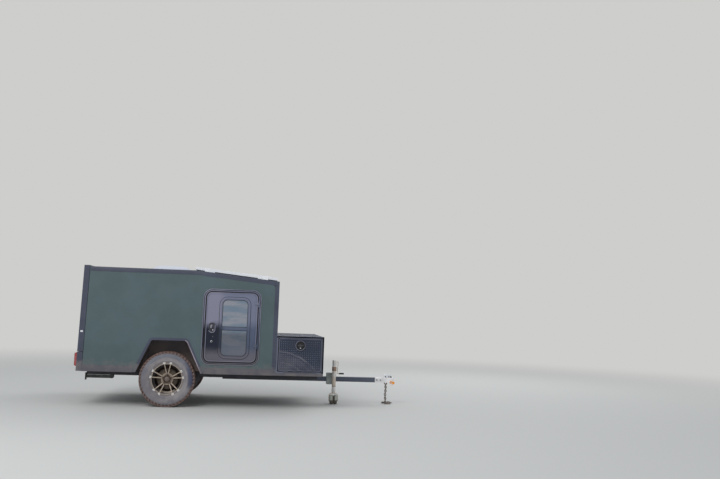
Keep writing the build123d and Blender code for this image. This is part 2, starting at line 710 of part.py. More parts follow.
for side, hand in sides:
    flange_size = (door_flange_length, door_flange_height)
    frame_size = (frame_length, frame_height)
    with BuildPart() as door_frame:
        side_block(side, flange_plate, flange_plate - panel_gap, door_middle, flange_size, door_corner)
        for from_edge, width in flange_ridges:
            ridge_size = inner_size(flange_size, from_edge)
            ridge_rise = flange_proud - flange_plate
            side_ridge(side, flange_plate, ridge_rise, door_middle, ridge_size, door_corner - from_edge, width)
            chamfer(crest(door_frame, side), length=ridge_slope)
        side_block(side, panel_gap, wall_thick + panel_gap, door_middle, frame_size, frame_corner)
        side_block(
            side, flange_proud + 1, flange_proud + 1 + wall_thick - jamb_wall, door_middle,
            inner_size(frame_size, jamb_wall), frame_corner - jamb_wall, mode=Mode.SUBTRACT,
        )
        side_block(
            side, 0, wall_thick + 1, door_middle, inner_size(frame_size, stop_width), frame_corner - stop_width,
            mode=Mode.SUBTRACT,
        )
        for level in hinge_levels:
            for end in (-1, 1):
                bottom = level + end * (hinge_knuckle + hinge_knuckle_gap) - hinge_knuckle / 2
                hinge_knuckle_at(side, bottom, hinge_knuckle, flange_plate)
            with BuildSketch(Plane.XY.offset(level - 1.5 * hinge_knuckle)):
                with Locations((hinge_pin_x, side * hinge_pin_out)):
                    Circle(hinge_pin_radius)
            extrude(amount=3 * hinge_knuckle)
    keep(door_frame, f"door_frame_{hand}")

    slab_size = (slab_length, slab_height)
    glass_size = (window_length, window_height)
    ring_size = inner_size(glass_size, -window_ring)
    lip_size = inner_size(glass_size, -window_lip)
    pan_size = (latch_length, latch_height)
    pan_floor = (latch_length - 2 * latch_border, latch_height - 2 * latch_border)
    with BuildPart() as door:
        side_block(side, door_outer, door_thick, door_middle, slab_size, slab_corner)
        for from_edge, width, rise in slab_ridges:
            ridge_size = inner_size(slab_size, from_edge)
            side_ridge(side, door_outer, rise, door_middle, ridge_size, slab_corner - from_edge, width)
            chamfer(crest(door, side), length=rise * 0.8)
        window_top = door_outer + window_proud
        side_block(side, window_top, window_proud, window_middle, ring_size, window_corner + window_ring)
        fillet(crest(door, side), radius=window_proud * 0.6)
        side_block(
            side, window_top, window_lip_drop, window_middle, lip_size, window_corner + window_lip,
            mode=Mode.SUBTRACT,
        )
        side_block(
            side, window_top, window_proud + door_thick, window_middle, glass_size, window_corner,
            mode=Mode.SUBTRACT,
        )
        with BuildSketch(side_plane(side, -door_outer)):
            with Locations((window_middle[0], window_bar_height)):
                Rectangle(window_length + window_lip_drop, window_bar)
        extrude(amount=side * door_thick * window_bar_share)
        side_block(side, window_top, window_proud, latch_middle, pan_size, latch_length * latch_round)
        fillet(crest(door, side), radius=window_proud * 0.5)
        side_block(
            side, window_top, latch_recess, latch_middle, pan_floor, latch_length * latch_round - latch_border,
            mode=Mode.SUBTRACT,
        )
        side_block(
            side, window_top - latch_border / 2, latch_recess, latch_middle, (paddle_length, paddle_height),
            paddle_length * latch_round,
        )
        chamfer(crest(door, side), length=ridge_slope)
        with BuildSketch(side_plane(side, -door_outer)):
            with Locations((latch_x, latch_level - deadbolt_drop)):
                Circle(deadbolt_radius)
        extrude(amount=-side * deadbolt_proud, taper=deadbolt_taper)
        with BuildSketch(side_plane(side, -door_outer - deadbolt_proud)):
            with Locations((latch_x, latch_level - deadbolt_drop)):
                Circle(deadbolt_core)
        extrude(amount=-side * ridge_slope)
        for level in hinge_levels:
            strap_y = half_width + (hinge_standoff + door_outer) / 2
            foot_x = hinge_pin_x - strap_length + strap_foot / 2
            with BuildSketch(Plane.XY.offset(level - hinge_knuckle / 2)):
                with Locations((hinge_pin_x, side * hinge_pin_out)):
                    Circle(hinge_radius)
                with Locations((hinge_pin_x - strap_length / 2, side * (hinge_pin_out - strap_thick / 2))):
                    Rectangle(strap_length, strap_thick)
                with Locations((foot_x, side * strap_y)):
                    Rectangle(strap_foot, hinge_standoff - door_outer)
                with Locations((hinge_pin_x, side * hinge_pin_out)):
                    Circle(hinge_pin_radius + hinge_pin_clearance, mode=Mode.SUBTRACT)
            extrude(amount=hinge_knuckle)
    keep(door, f"door_{hand}")

    with BuildPart() as door_glass:
        bar_top, bar_foot = window_bar_height + window_bar / 2, window_bar_height - window_bar / 2
        window_head = window_bottom + window_height
        for low, high, rounded in ((bar_top, window_head, -1), (window_bottom, bar_foot, 0)):
            with BuildSketch(side_plane(side, glass_setback)) as pane:
                with Locations((window_middle[0], (low + high) / 2)):
                    Rectangle(window_length - 2 * panel_gap, high - low - 2 * panel_gap)
                fillet(pane.vertices().group_by(Axis.Y)[rounded], radius=window_corner - panel_gap)
            extrude(amount=side * glass_thick)
    keep(door_glass, f"door_glass_{hand}")

# Deck ahead of the body, its skirt hanging in front of the rails' ends
with BuildPart() as deck:
    with BuildSketch(Plane.XY.offset(rail_top)):
        with Locations(((front_x + deck_x) / 2, 0)):
            Rectangle(deck_length, body_width)
    extrude(amount=floor_thick)
    with BuildSketch(Plane.XY.offset(rail_top)):
        with Locations(((front_x + deck_x) / 2, 0)):
            Rectangle(deck_length, body_width)
        with Locations(((front_x + deck_x) / 2 - deck_skirt, 0)):
            Rectangle(deck_length, body_width - 2 * deck_skirt, mode=Mode.SUBTRACT)
    extrude(amount=-rail_top_rise)
keep(deck, "deck")

# Toolbox across the deck, open at both ends, with a drop-down door in each
box_rear = front_x + panel_gap
box_length = deck_x - box_rear
box_middle = (box_rear + deck_x) / 2
box_height = toolbox_top - floor_top
box_level = floor_top + box_height / 2
mouth_length = box_length - 2 * toolbox_rim
mouth_height = box_height - 2 * toolbox_rim
lid_length = mouth_length - 2 * toolbox_door_gap
lid_height = mouth_height - 2 * toolbox_door_gap
toolbox_latch_middle = (box_middle, box_level + lid_height / 2 - toolbox_latch_drop)
drop_hinge_z = floor_top + toolbox_rim - toolbox_hinge_drop
drop_count = int(mouth_length // drop_pitch)
drop_first = box_middle - (drop_count - 1) * drop_pitch / 2
drop_knuckle = drop_pitch / 2 - hinge_knuckle_gap
drop_span = (drop_count - 1) * drop_pitch + drop_knuckle
with BuildPart() as toolbox_shell:
    with BuildSketch(Plane.XY.offset(floor_top)):
        with Locations((box_middle, 0)):
            Rectangle(box_length, body_width)
    extrude(amount=box_height)
    with BuildSketch(Plane.XY.offset(floor_top + toolbox_wall)):
        with Locations((box_middle, 0)):
            Rectangle(box_length - 2 * toolbox_wall, body_width - 2 * toolbox_wall)
    extrude(amount=box_height - 2 * toolbox_wall, mode=Mode.SUBTRACT)
    with BuildSketch(side_plane(-1)):
        with Locations((box_middle, box_level)):
            Rectangle(mouth_length, mouth_height)
    extrude(amount=-body_width, mode=Mode.SUBTRACT)
    for side, _ in sides:
        drop_y = side * (half_width + toolbox_hinge_standoff)
        with BuildSketch(Plane.YZ.offset(drop_first - drop_knuckle / 2)):
            with Locations((drop_y, drop_hinge_z)):
                Circle(toolbox_pin_radius)
        extrude(amount=drop_span)
        for n in range(drop_count - 1):
            with BuildSketch(Plane.YZ.offset(drop_first + (n + 0.5) * drop_pitch - drop_knuckle / 2)):
                with Locations((drop_y, drop_hinge_z)):
                    Circle(toolbox_hinge_radius)
                with Locations((side * (half_width + toolbox_hinge_standoff / 2), drop_hinge_z)):
                    Rectangle(toolbox_hinge_standoff, toolbox_hinge_radius)
            extrude(amount=drop_knuckle)
keep(toolbox_shell, "toolbox_shell")

for side, hand in sides:
    latch_face = side_plane(side, -toolbox_latch_proud)
    strap_out = side * (half_width + toolbox_hinge_standoff - toolbox_strap / 3)
    with BuildPart() as toolbox_door:
        with BuildSketch(side_plane(side)):
            with Locations((box_middle, box_level)):
                Rectangle(lid_length, lid_height)
        extrude(amount=side * toolbox_door_thick)
        with BuildSketch(side_plane(side, toolbox_wall)):
            with Locations((box_middle, box_level)):
                Rectangle(lid_length - 2 * toolbox_wall, lid_height - 2 * toolbox_wall)
        extrude(amount=side * toolbox_door_thick, mode=Mode.SUBTRACT)
        with BuildSketch(side_plane(side)):
            with Locations(toolbox_latch_middle):
                Circle(toolbox_latch_radius)
        extrude(amount=-side * toolbox_latch_proud)
        fillet(crest(toolbox_door, side), radius=toolbox_latch_rim / 3)
        with BuildSketch(latch_face):
            with Locations(toolbox_latch_middle):
                Circle(toolbox_latch_radius - toolbox_latch_rim)
        extrude(amount=side * (toolbox_latch_proud - toolbox_latch_floor), mode=Mode.SUBTRACT)
        with BuildSketch(side_plane(side, -toolbox_latch_floor)):
            with Locations(toolbox_latch_middle):
                RectangleRounded(toolbox_handle_length, toolbox_handle_height, toolbox_handle_height * 0.4)
                Circle(toolbox_handle_boss)
        extrude(amount=-side * toolbox_latch_proud)
        chamfer(crest(toolbox_door, side), length=ridge_slope)
        for n in range(drop_count):
            with BuildSketch(Plane.YZ.offset(drop_first + n * drop_pitch - drop_knuckle / 2)):
                with Locations((side * (half_width + toolbox_hinge_standoff), drop_hinge_z)):
                    Circle(toolbox_hinge_radius)
                with Locations((strap_out, drop_hinge_z + toolbox_strap_height / 2)):
                    Rectangle(toolbox_strap, toolbox_strap_height)
                with Locations((
                    side * (half_width + toolbox_hinge_standoff / 2),
                    drop_hinge_z + toolbox_strap_height - toolbox_foot / 2,
                )):
                    Rectangle(toolbox_hinge_standoff, toolbox_foot)
                with Locations((side * (half_width + toolbox_hinge_standoff), drop_hinge_z)):
                    Circle(toolbox_pin_radius + hinge_pin_clearance, mode=Mode.SUBTRACT)
            extrude(amount=drop_knuckle)
    keep(toolbox_door, f"toolbox_door_{hand}")

# Roof vent: a collar through the roof and a domed lid hinged at its rear
vent_pin_x = vent_x - vent_lid_length / 2 - vent_pin_gap
vent_pin_z = roof_rear_z + vent_lid_lift
vent_apron_rear = vent_pin_x - vent_pin_gap
with BuildPart() as vent_base:
    with BuildSketch(Plane.XY.offset(roof_rear_z)):
        with Locations((vent_x, 0)):
            Rectangle(vent_opening + 2 * vent_flange_width, vent_opening + 2 * vent_flange_width)
        for side, _ in sides:
            with Locations(((vent_apron_rear + vent_x) / 2, side * vent_lug_place)):
                Rectangle(vent_x - vent_apron_rear, vent_lug + 2 * vent_apron)
    extrude(amount=vent_flange_thick)
    with BuildSketch(Plane.XY.offset(roof_rear_z - roof_thick)):
        with Locations((vent_x, 0)):
            Rectangle(vent_opening - 2 * panel_gap, vent_opening - 2 * panel_gap)
            Rectangle(vent_opening - 2 * vent_collar_wall, vent_opening - 2 * vent_collar_wall, mode=Mode.SUBTRACT)
    extrude(amount=roof_thick + vent_collar_height)
    with BuildSketch(Plane.XY.offset(roof_rear_z)):
        with Locations((vent_x, 0)):
            Rectangle(vent_opening - 2 * vent_collar_wall, vent_opening - 2 * vent_collar_wall)
    extrude(amount=vent_flange_thick, mode=Mode.SUBTRACT)
    for side, _ in sides:
        for end in (-1, 1):
            ear_middle = side * vent_lug_place + end * (vent_lug / 2 + vent_ear_gap + vent_ear / 2)
            with BuildSketch(Plane.XZ.offset(-ear_middle - vent_ear / 2)):
                with Locations((vent_pin_x, vent_pin_z)):
                    Circle(hatch_hinge_radius)
                with Locations((vent_pin_x, (vent_pin_z + roof_rear_z) / 2)):
                    Rectangle(2 * hatch_hinge_radius, vent_lid_lift)
            extrude(amount=vent_ear)
        with BuildSketch(Plane.XZ.offset(-side * vent_lug_place - vent_lug / 2 - vent_ear / 2)):
            with Locations((vent_pin_x, vent_pin_z)):
                Circle(hatch_pin_radius)
        extrude(amount=vent_lug + vent_ear)
keep(vent_base, "vent_base")

with BuildPart() as vent_lid:
    with BuildSketch(Plane.XY.offset(vent_pin_z)):
        with Locations((vent_x, 0)):
            RectangleRounded(vent_lid_length, vent_lid_width, vent_corner)
    extrude(amount=vent_lid_height, taper=vent_lid_taper)
    fillet(vent_lid.faces().sort_by(Axis.Z)[-1].edges(), radius=vent_lid_crown)
    offset(amount=-vent_lid_wall, openings=vent_lid.faces().sort_by(Axis.Z)[0])
    for side, _ in sides:
        with BuildSketch(Plane.XZ.offset(-side * vent_lug_place - vent_lug / 2)):
            with Locations((vent_pin_x, vent_pin_z)):
                Circle(hatch_hinge_radius)
            with Locations((vent_pin_x + (vent_pin_gap + vent_lid_wall) / 2, vent_pin_z + vent_lug_bar / 2)):
                Rectangle(vent_pin_gap + vent_lid_wall, vent_lug_bar)
            with Locations((vent_pin_x, vent_pin_z)):
                Circle(hatch_pin_radius + hinge_pin_clearance, mode=Mode.SUBTRACT)
        extrude(amount=vent_lug)
keep(vent_lid, "vent_lid")

# Solar panel on the sloping part of the roof
slope_x = (cos(roof_slope), 0, -sin(roof_slope))
slope_up = (sin(roof_slope), 0, cos(roof_slope))
slope = Plane(origin=(bend_x, 0, roof_rear_z), x_dir=slope_x, z_dir=slope_up)
solar_middle = solar_from_bend + solar_length / 2
with BuildPart() as solar_frame:
    with BuildSketch(slope.offset(solar_gap)):
        with Locations((solar_middle, 0)):
            Rectangle(solar_length, solar_width)
            Rectangle(solar_length - 2 * solar_border, solar_width - 2 * solar_border, mode=Mode.SUBTRACT)
    extrude(amount=solar_thick)
    with BuildSketch(slope.offset(solar_gap + solar_thick - 3 * solar_glass_thick)):
        with Locations((solar_middle, 0)):
            Rectangle(solar_length, solar_width)
            Rectangle(solar_length - 4 * solar_border, solar_width - 4 * solar_border, mode=Mode.SUBTRACT)
    extrude(amount=solar_glass_thick)
keep(solar_frame, "solar_frame")

with BuildPart() as solar_glass:
    with BuildSketch(slope.offset(solar_gap + solar_thick - 2 * solar_glass_thick + panel_gap)):
        with Locations((solar_middle, 0)):
            Rectangle(
                solar_length - 2 * solar_border - 2 * panel_gap, solar_width - 2 * solar_border - 2 * panel_gap
            )
    extrude(amount=solar_glass_thick)
keep(solar_glass, "solar_glass")

with BuildPart() as solar_brackets:
    for side, _ in sides:
        for end in (-1, 1):
            place = solar_middle + end * (solar_length / 2 - solar_bracket_inset)
            edge = side * (solar_width / 2 + panel_gap)
            with BuildSketch(slope):
                with Locations((place, edge + side * solar_bracket_foot / 2)):
                    Rectangle(solar_bracket_width, solar_bracket_foot)
            extrude(amount=solar_bracket_thick)
            with BuildSketch(slope):
                with Locations((place, edge + side * solar_bracket_thick / 2)):
                    Rectangle(solar_bracket_width, solar_bracket_thick)
            extrude(amount=solar_gap + solar_thick * 0.8)
keep(solar_brackets, "solar_brackets")


# Wheels: places along each axle are counted outwards from the tyre's middle plane
wheel_mid = half_width - tyre_inset - tyre_width / 2
seat_radius = rim_diameter / 2
lip_radius = seat_radius + rim_lip
well_radius = seat_radius - rim_well_depth
rim_half = rim_width / 2
hub_bore = spindle_radius + spindle_clearance
spoke_lean = sin(radians(spoke_half_angle))
well_rear = -rim_half + rim_rear_seat
well_front = rim_half - rim_front_seat

# Each spoke's sections: radius from the axle, half width, back, front
spoke_sections = (
    (pad_radius - 4, 9.0, pad_back + 4, pad_front),
    (pad_radius + 46, 7.5, pad_back + 18, pad_front + 20),
    (spoke_pad_radius - 28, 6.5, rim_half - 20, rim_half + rim_wall + 1),
    (spoke_pad_radius - 14, 6.5, rim_half, rim_half + rim_wall + 4),
    (spoke_pad_radius, 11.0, rim_half, rim_half + rim_wall + 5),
)


def wheel_section(side):
    """Upright plane through the axle: local x outwards from the tyre's middle, y up."""
    return Plane(origin=(axle_x, side * wheel_mid, axle_z), x_dir=(0, side, 0), z_dir=(side, 0, 0))


def wheel_disc(side, out):
    """Plane square to the axle at the distance out: local x along +X, local y along +Z."""
    return Plane(origin=(axle_x, side * (wheel_mid + out), axle_z), x_dir=(1, 0, 0), z_dir=(0, -1, 0))


def spoke_plane(side, angle, radius):
    """Plane square to a wheel's radius at an angle: local x along the rim, local y outwards."""
    ray = (cos(radians(angle)), 0, sin(radians(angle)))
    centre = (axle_x + radius * ray[0], side * wheel_mid, axle_z + radius * ray[2])
    return Plane(origin=centre, x_dir=(side * ray[2], 0, -side * ray[0]), z_dir=ray)


def axle_line(side):
    """Axis of the wheel on one side."""
    return Axis((axle_x, side * wheel_mid, axle_z), (0, 1, 0))


for side, hand in sides:
    with BuildPart() as wheel:
        with BuildSketch(wheel_section(side)):
            with BuildLine():
                outer = [
                    (-rim_half - rim_wall, lip_radius),
                    (-rim_half, lip_radius),
                    (-rim_half, seat_radius),
                    (well_rear, seat_radius),
                    (well_rear + rim_well_slope, well_radius),
                    (well_front - rim_well_slope, well_radius),
                    (well_front, seat_radius),
                    (rim_half, seat_radius),
                    (rim_half, lip_radius),
                    (rim_half + rim_wall, lip_radius),
                ]
                inner = [
                    (rim_half + rim_wall, seat_radius - rim_wall),
                    (well_front + rim_wall / 2, seat_radius - rim_wall),
                    (well_front + rim_wall / 2 - rim_well_slope, well_radius - rim_wall),
                    (well_rear - rim_wall / 2 + rim_well_slope, well_radius - rim_wall),
                    (well_rear - rim_wall / 2, seat_radius - rim_wall),
                    (-rim_half - rim_wall, seat_radius - rim_wall),
                ]
                Polyline(*outer, *inner, close=True)
            make_face()
            with Locations(((pad_back + pad_front) / 2, (pad_radius + cap_radius) / 2)):
                Rectangle(pad_front - pad_back, pad_radius - cap_radius)
        revolve(axis=axle_line(side))
        for n in range(spoke_pairs):
            angle = 90 + n * 360 / spoke_pairs
            for lean in (-1, 1):
                root = spoke_root_gap + spoke_sections[0][1]
                for radius, half, back, front in spoke_sections:
                    share = (radius - spoke_sections[0][0]) / (spoke_pad_radius - spoke_sections[0][0])
                    along = lean * (root + share * (spoke_pad_radius * spoke_lean - root))
                    with BuildSketch(spoke_plane(side, angle, radius)):
                        Polygon(
                            (along - half, back),
                            (along + half, back),
                            (along + half * spoke_crown, front),
                            (along - half * spoke_crown, front),
                            align=None,
                        )
                loft(ruled=True)
        with BuildSketch(wheel_disc(side, pad_front + 1)):
            with PolarLocations(stud_circle, stud_count, start_angle=90):
                Circle(stud_radius + stud_clearance)
        extrude(amount=(pad_front - pad_back + 2) * side, mode=Mode.SUBTRACT)
    keep(wheel, f"wheel_{hand}")

    with BuildPart() as tyre:
        with BuildSketch(wheel_section(side)):
            with BuildLine():
                radius = tyre_diameter / 2
                half = tyre_width / 2
                bead_edge = rim_half + rim_wall
                side_edge = half - tyre_edge_run
                tread_edge = half - tyre_shoulder
                for end in (-1, 1):
                    Polyline(
                        (0, seat_radius + panel_gap),
                        (end * (rim_half - panel_gap), seat_radius + panel_gap),
                        (end * (rim_half - panel_gap), lip_radius + tyre_tread_drop / 2),
                        (end * bead_edge, lip_radius + tyre_tread_drop),
                    )
                    ThreePointArc(
                        (end * bead_edge, lip_radius + tyre_tread_drop),
                        (end * half, (lip_radius + radius) / 2 - rim_wall),
                        (end * side_edge, radius - tyre_shoulder_drop),
                    )
                    ThreePointArc(
                        (end * side_edge, radius - tyre_shoulder_drop),
                        (end * (side_edge - tyre_tread_drop), radius - tyre_shoulder_drop / 2 + 1),
                        (end * tread_edge, radius - tyre_tread_drop),
                    )
                ThreePointArc(
                    (-tread_edge, radius - tyre_tread_drop), (0, radius), (tread_edge, radius - tyre_tread_drop)
                )
            make_face()
        revolve(axis=axle_line(side))
    keep(tyre, f"tyre_{hand}")

    with BuildPart() as hub:
        cap_face = pad_front + cap_crown + cap_rise
        cap_ring = cap_radius - cap_crown
        with BuildSketch(wheel_section(side)):
            with BuildLine():
                Polyline(
                    (drum_back, hub_bore),
                    (drum_back, drum_radius),
                    (drum_front, drum_radius),
                    ((drum_front + pad_back) / 2, (drum_radius + pad_radius) / 2 + cap_crown),
                    (pad_back, pad_radius + cap_crown),
                    (pad_back, cap_radius - panel_gap),
                    (cap_face - cap_crown, cap_radius - panel_gap),
                    (cap_face, cap_ring),
                    (cap_face, cap_ring - cap_crown),
                    (cap_face - cap_dish, cap_ring - cap_crown - cap_dish),
                    (cap_face - cap_dish, 0),
                    (pad_front + rim_wall, 0),
                    (pad_front + rim_wall, hub_bore),
                    close=True,
                )
            make_face()
        revolve(axis=axle_line(side))
        with BuildSketch(wheel_disc(side, pad_back)):
            with PolarLocations(stud_circle, stud_count, start_angle=90):
                Circle(stud_radius)
        extrude(amount=-side * (pad_front - pad_back + stud_length))
        with BuildSketch(wheel_disc(side, pad_front)):
            with PolarLocations(stud_circle, stud_count, start_angle=90):
                RegularPolygon(nut_radius, 6)
        extrude(amount=-side * nut_height)
    keep(hub, f"hub_{hand}")

# Axle: a square tube across the frame, with a trailing arm and a spindle at each end
axle_tube_x = axle_x + arm_length
axle_tube_z = rail_bottom - axle_tube_size / 2
arm_inner_y = wheel_mid - arm_setback - arm_thick
tube_corner = 2.5 * tube_wall
plate_back = drum_back - drum_plate_gap
with BuildPart() as axle:
    with BuildSketch(Plane.XZ.offset(-arm_inner_y)):
        with Locations((axle_tube_x, axle_tube_z)):
            RectangleRounded(axle_tube_size, axle_tube_size, tube_corner)
            RectangleRounded(
                axle_tube_size - 2 * tube_wall, axle_tube_size - 2 * tube_wall, tube_corner - tube_wall,
                mode=Mode.SUBTRACT,
            )
    extrude(amount=2 * arm_inner_y)
    for side, _ in sides:
        with BuildSketch(wheel_disc(side, -arm_setback)):
            rise = axle_tube_z - axle_z
            tube_end = axle_tube_size * tube_boss
            spindle_end = spindle_radius + spindle_boss
            with Locations((arm_length, rise)):
                Circle(tube_end)
            Circle(spindle_end)
            with BuildLine():
                Polyline(
                    (0, spindle_end),
                    (arm_length, rise + tube_end),
                    (arm_length, rise - tube_end),
                    (0, -spindle_end),
                    close=True,
                )
            make_face()
        extrude(amount=side * arm_thick)
        with BuildSketch(wheel_disc(side, -arm_setback)):
            Circle(spindle_radius)
        extrude(amount=-side * (pad_front + arm_setback))
        with BuildSketch(wheel_disc(side, -arm_setback)):
            Circle(spindle_end)
        extrude(amount=-side * (plate_back + arm_setback + drum_plate_thick / 2))
        with BuildSketch(wheel_disc(side, plate_back)):
            Circle(drum_radius + drum_plate_rim)
        extrude(amount=-side * drum_plate_thick)
keep(axle, "axle")

# Coupler: a channel over the tongue's end with a closed nose and a ball socket under it
ball_radius = ball_diameter / 2 + ball_clearance
ball_x = nose_x - ball_radius - coupler_nose_wall
coupler_rear = nose_x - coupler_length
tongue_top = rail_bottom
tongue_foot = tongue_top - tongue_height
coupler_top = tongue_top + coupler_wall
coupler_width = tongue_width + 2 * (coupler_wall + panel_gap)
nose_radius = nose_x - ball_x
neck_x = tongue_end + coupler_neck
socket_top = tongue_foot + socket_straight
with BuildPart() as coupler:
    with BuildSketch(Plane.XY.offset(tongue_foot)):
        with BuildLine():
            Polyline(
                (ball_x, -nose_radius),
                (neck_x, -coupler_width / 2),
                (coupler_rear, -coupler_width / 2),
                (coupler_rear, coupler_width / 2),
                (neck_x, coupler_width / 2),
                (ball_x, nose_radius),
            )
            ThreePointArc((ball_x, nose_radius), (nose_x, 0), (ball_x, -nose_radius))
        make_face()
    extrude(amount=coupler_top - tongue_foot)
    fillet(coupler.faces().sort_by(Axis.Z)[-1].edges().sort_by(Axis.X)[-3:], radius=coupler_round)
    with BuildSketch(Plane.XY.offset(tongue_foot - 1)):
        with Locations(((coupler_rear + tongue_end + panel_gap) / 2, 0)):
            Rectangle(tongue_end + panel_gap - coupler_rear, tongue_width + 2 * panel_gap)
    extrude(amount=tongue_height + 1 + panel_gap, mode=Mode.SUBTRACT)
    with BuildSketch(Plane.XZ):
        with BuildLine():
            Line((ball_x, tongue_foot - 1), (ball_x + ball_radius, tongue_foot - 1))
            Line((ball_x + ball_radius, tongue_foot - 1), (ball_x + ball_radius, socket_top))
            ThreePointArc(
                (ball_x + ball_radius, socket_top),
                (ball_x + ball_radius * cos(radians(45)), socket_top + ball_radius * sin(radians(45))),
                (ball_x, socket_top + ball_radius),
            )
            Line((ball_x, socket_top + ball_radius), (ball_x, tongue_foot - 1))
        make_face()
    revolve(axis=Axis((ball_x, 0, 0), (0, 0, 1)), mode=Mode.SUBTRACT)
keep(coupler, "coupler")

# Coupler latch: a folded lever that stands on its leg, over the coupler's top
latch_rear, latch_nose = ball_x - latch_back, ball_x + latch_front
latch_top = coupler_top + latch_rise
with BuildPart() as coupler_latch:
    with BuildSketch(Plane.XZ.offset(-latch_width / 2)):
        with BuildLine():
            Polyline(
                (latch_rear, latch_top - latch_side / 2),
                (latch_rear, latch_top),
                (latch_nose, latch_top),
                (latch_nose - latch_slant, latch_top - latch_side),
                (latch_rear + 2 * latch_slant, latch_top - latch_side),
                close=True,
            )
        make_face()
    extrude(amount=latch_width)
    fillet(coupler_latch.faces().sort_by(Axis.Z)[-1].edges(), radius=latch_plate / 2)
    with BuildSketch(Plane.YZ.offset(latch_rear)):
        with Locations((0, latch_top - latch_plate - latch_side / 2)):
            Rectangle(latch_width - 2 * latch_plate, latch_side)
    extrude(amount=latch_nose - latch_rear, mode=Mode.SUBTRACT)
    for from_ball, length, width, gap in latch_posts:
        foot = coupler_top + gap
        with BuildSketch(Plane.XY.offset(foot)):
            with Locations((ball_x + from_ball, 0)):
                Rectangle(length, width)
        extrude(amount=latch_top - latch_plate / 2 - foot)
keep(coupler_latch, "coupler_latch")

# Safety chains: a U-bolt under the coupler for each, and links that hang through each other
chain_x = nose_x - chain_back
link_pitch = link_length - 2 * chain_wire - panel_gap
link_straight = (link_length - link_width) / 2
link_bend = (link_width - chain_wire) / 2
bolt_top = tongue_foot - panel_gap
bolt_foot = bolt_top - bolt_drop
first_level = bolt_foot - bolt_half + bolt_wire / 2 + panel_gap + chain_wire - link_length / 2
with BuildPart() as safety_chains:
    for side, _ in sides:
        chain_y = side * chain_from_middle
        with BuildLine(Plane((chain_x, chain_y, 0), x_dir=(1, 0, 0), z_dir=(0, -1, 0))) as bolt_path:
            Line((-bolt_half, bolt_top), (-bolt_half, bolt_foot))
            ThreePointArc((-bolt_half, bolt_foot), (0, bolt_foot - bolt_half), (bolt_half, bolt_foot))
            Line((bolt_half, bolt_foot), (bolt_half, bolt_top))
        with BuildSketch(Plane((chain_x - bolt_half, chain_y, bolt_top), z_dir=(0, 0, -1))):
            RegularPolygon(bolt_wire / 2, wire_facets)
        sweep(path=bolt_path.wires()[0])
        for n in range(link_count):
            across = (0, 1, 0) if n % 2 == 0 else (1, 0, 0)
            normal = (1, 0, 0) if n % 2 == 0 else (0, -1, 0)
            level = first_level - n * link_pitch
            with BuildLine(Plane((chain_x, chain_y, level), x_dir=across, z_dir=normal)) as link_path:
                Line((-link_bend, -link_straight), (-link_bend, link_straight))
                ThreePointArc(
                    (-link_bend, link_straight), (0, link_straight + link_bend), (link_bend, link_straight)
                )
                Line((link_bend, link_straight), (link_bend, -link_straight))
                ThreePointArc(
                    (link_bend, -link_straight), (0, -link_straight - link_bend), (-link_bend, -link_straight)
                )
            start = (chain_x - across[0] * link_bend, chain_y - across[1] * link_bend, level)
            with BuildSketch(Plane(start, x_dir=across, z_dir=(0, 0, 1))):
                RegularPolygon(chain_wire / 2, wire_facets)
            sweep(path=link_path.wires()[0])
keep(safety_chains, "safety_chains")

# Jack: bracket on the tongue's right side, and the tube that swings on it
jack_x = deck_x + jack_from_deck
jack_y = -jack_from_middle
plate_rear = jack_x - bracket_back
plate_front = jack_x + bracket_front
plate_low = tongue_foot - bracket_drop
plate_high = jack_pivot_level + boss_radius + bracket_margin
tongue_side = tongue_width / 2
bolt_end = tongue_side + bracket_thick + bracket_bolt_proud
with BuildPart() as jack_bracket:
    for side, _ in sides:
        with BuildSketch(Plane.XZ.offset(side * (tongue_side + panel_gap))):
            with Locations(((plate_rear + plate_front) / 2, (plate_low + plate_high) / 2)):
                RectangleRounded(plate_front - plate_rear, plate_high - plate_low, bracket_corner)
        extrude(amount=side * bracket_thick)
    for x in (plate_rear + bracket_bolt_inset, plate_front - bracket_bolt_inset):
        for z in (tongue_foot - bracket_bolt_gap, tongue_top + bracket_bolt_gap):
            with BuildSketch(Plane.XZ.offset(-bolt_end)):
                with Locations((x, z)):
                    Circle(bracket_bolt_radius)
            extrude(amount=2 * bolt_end)
    with BuildSketch(Plane.XZ.offset(tongue_side + bracket_thick / 2)):
        with Locations((jack_x, jack_pivot_level)):
            Circle(boss_radius)
    extrude(amount=boss_end - tongue_side - bracket_thick / 2)
keep(jack_bracket, "jack_bracket")

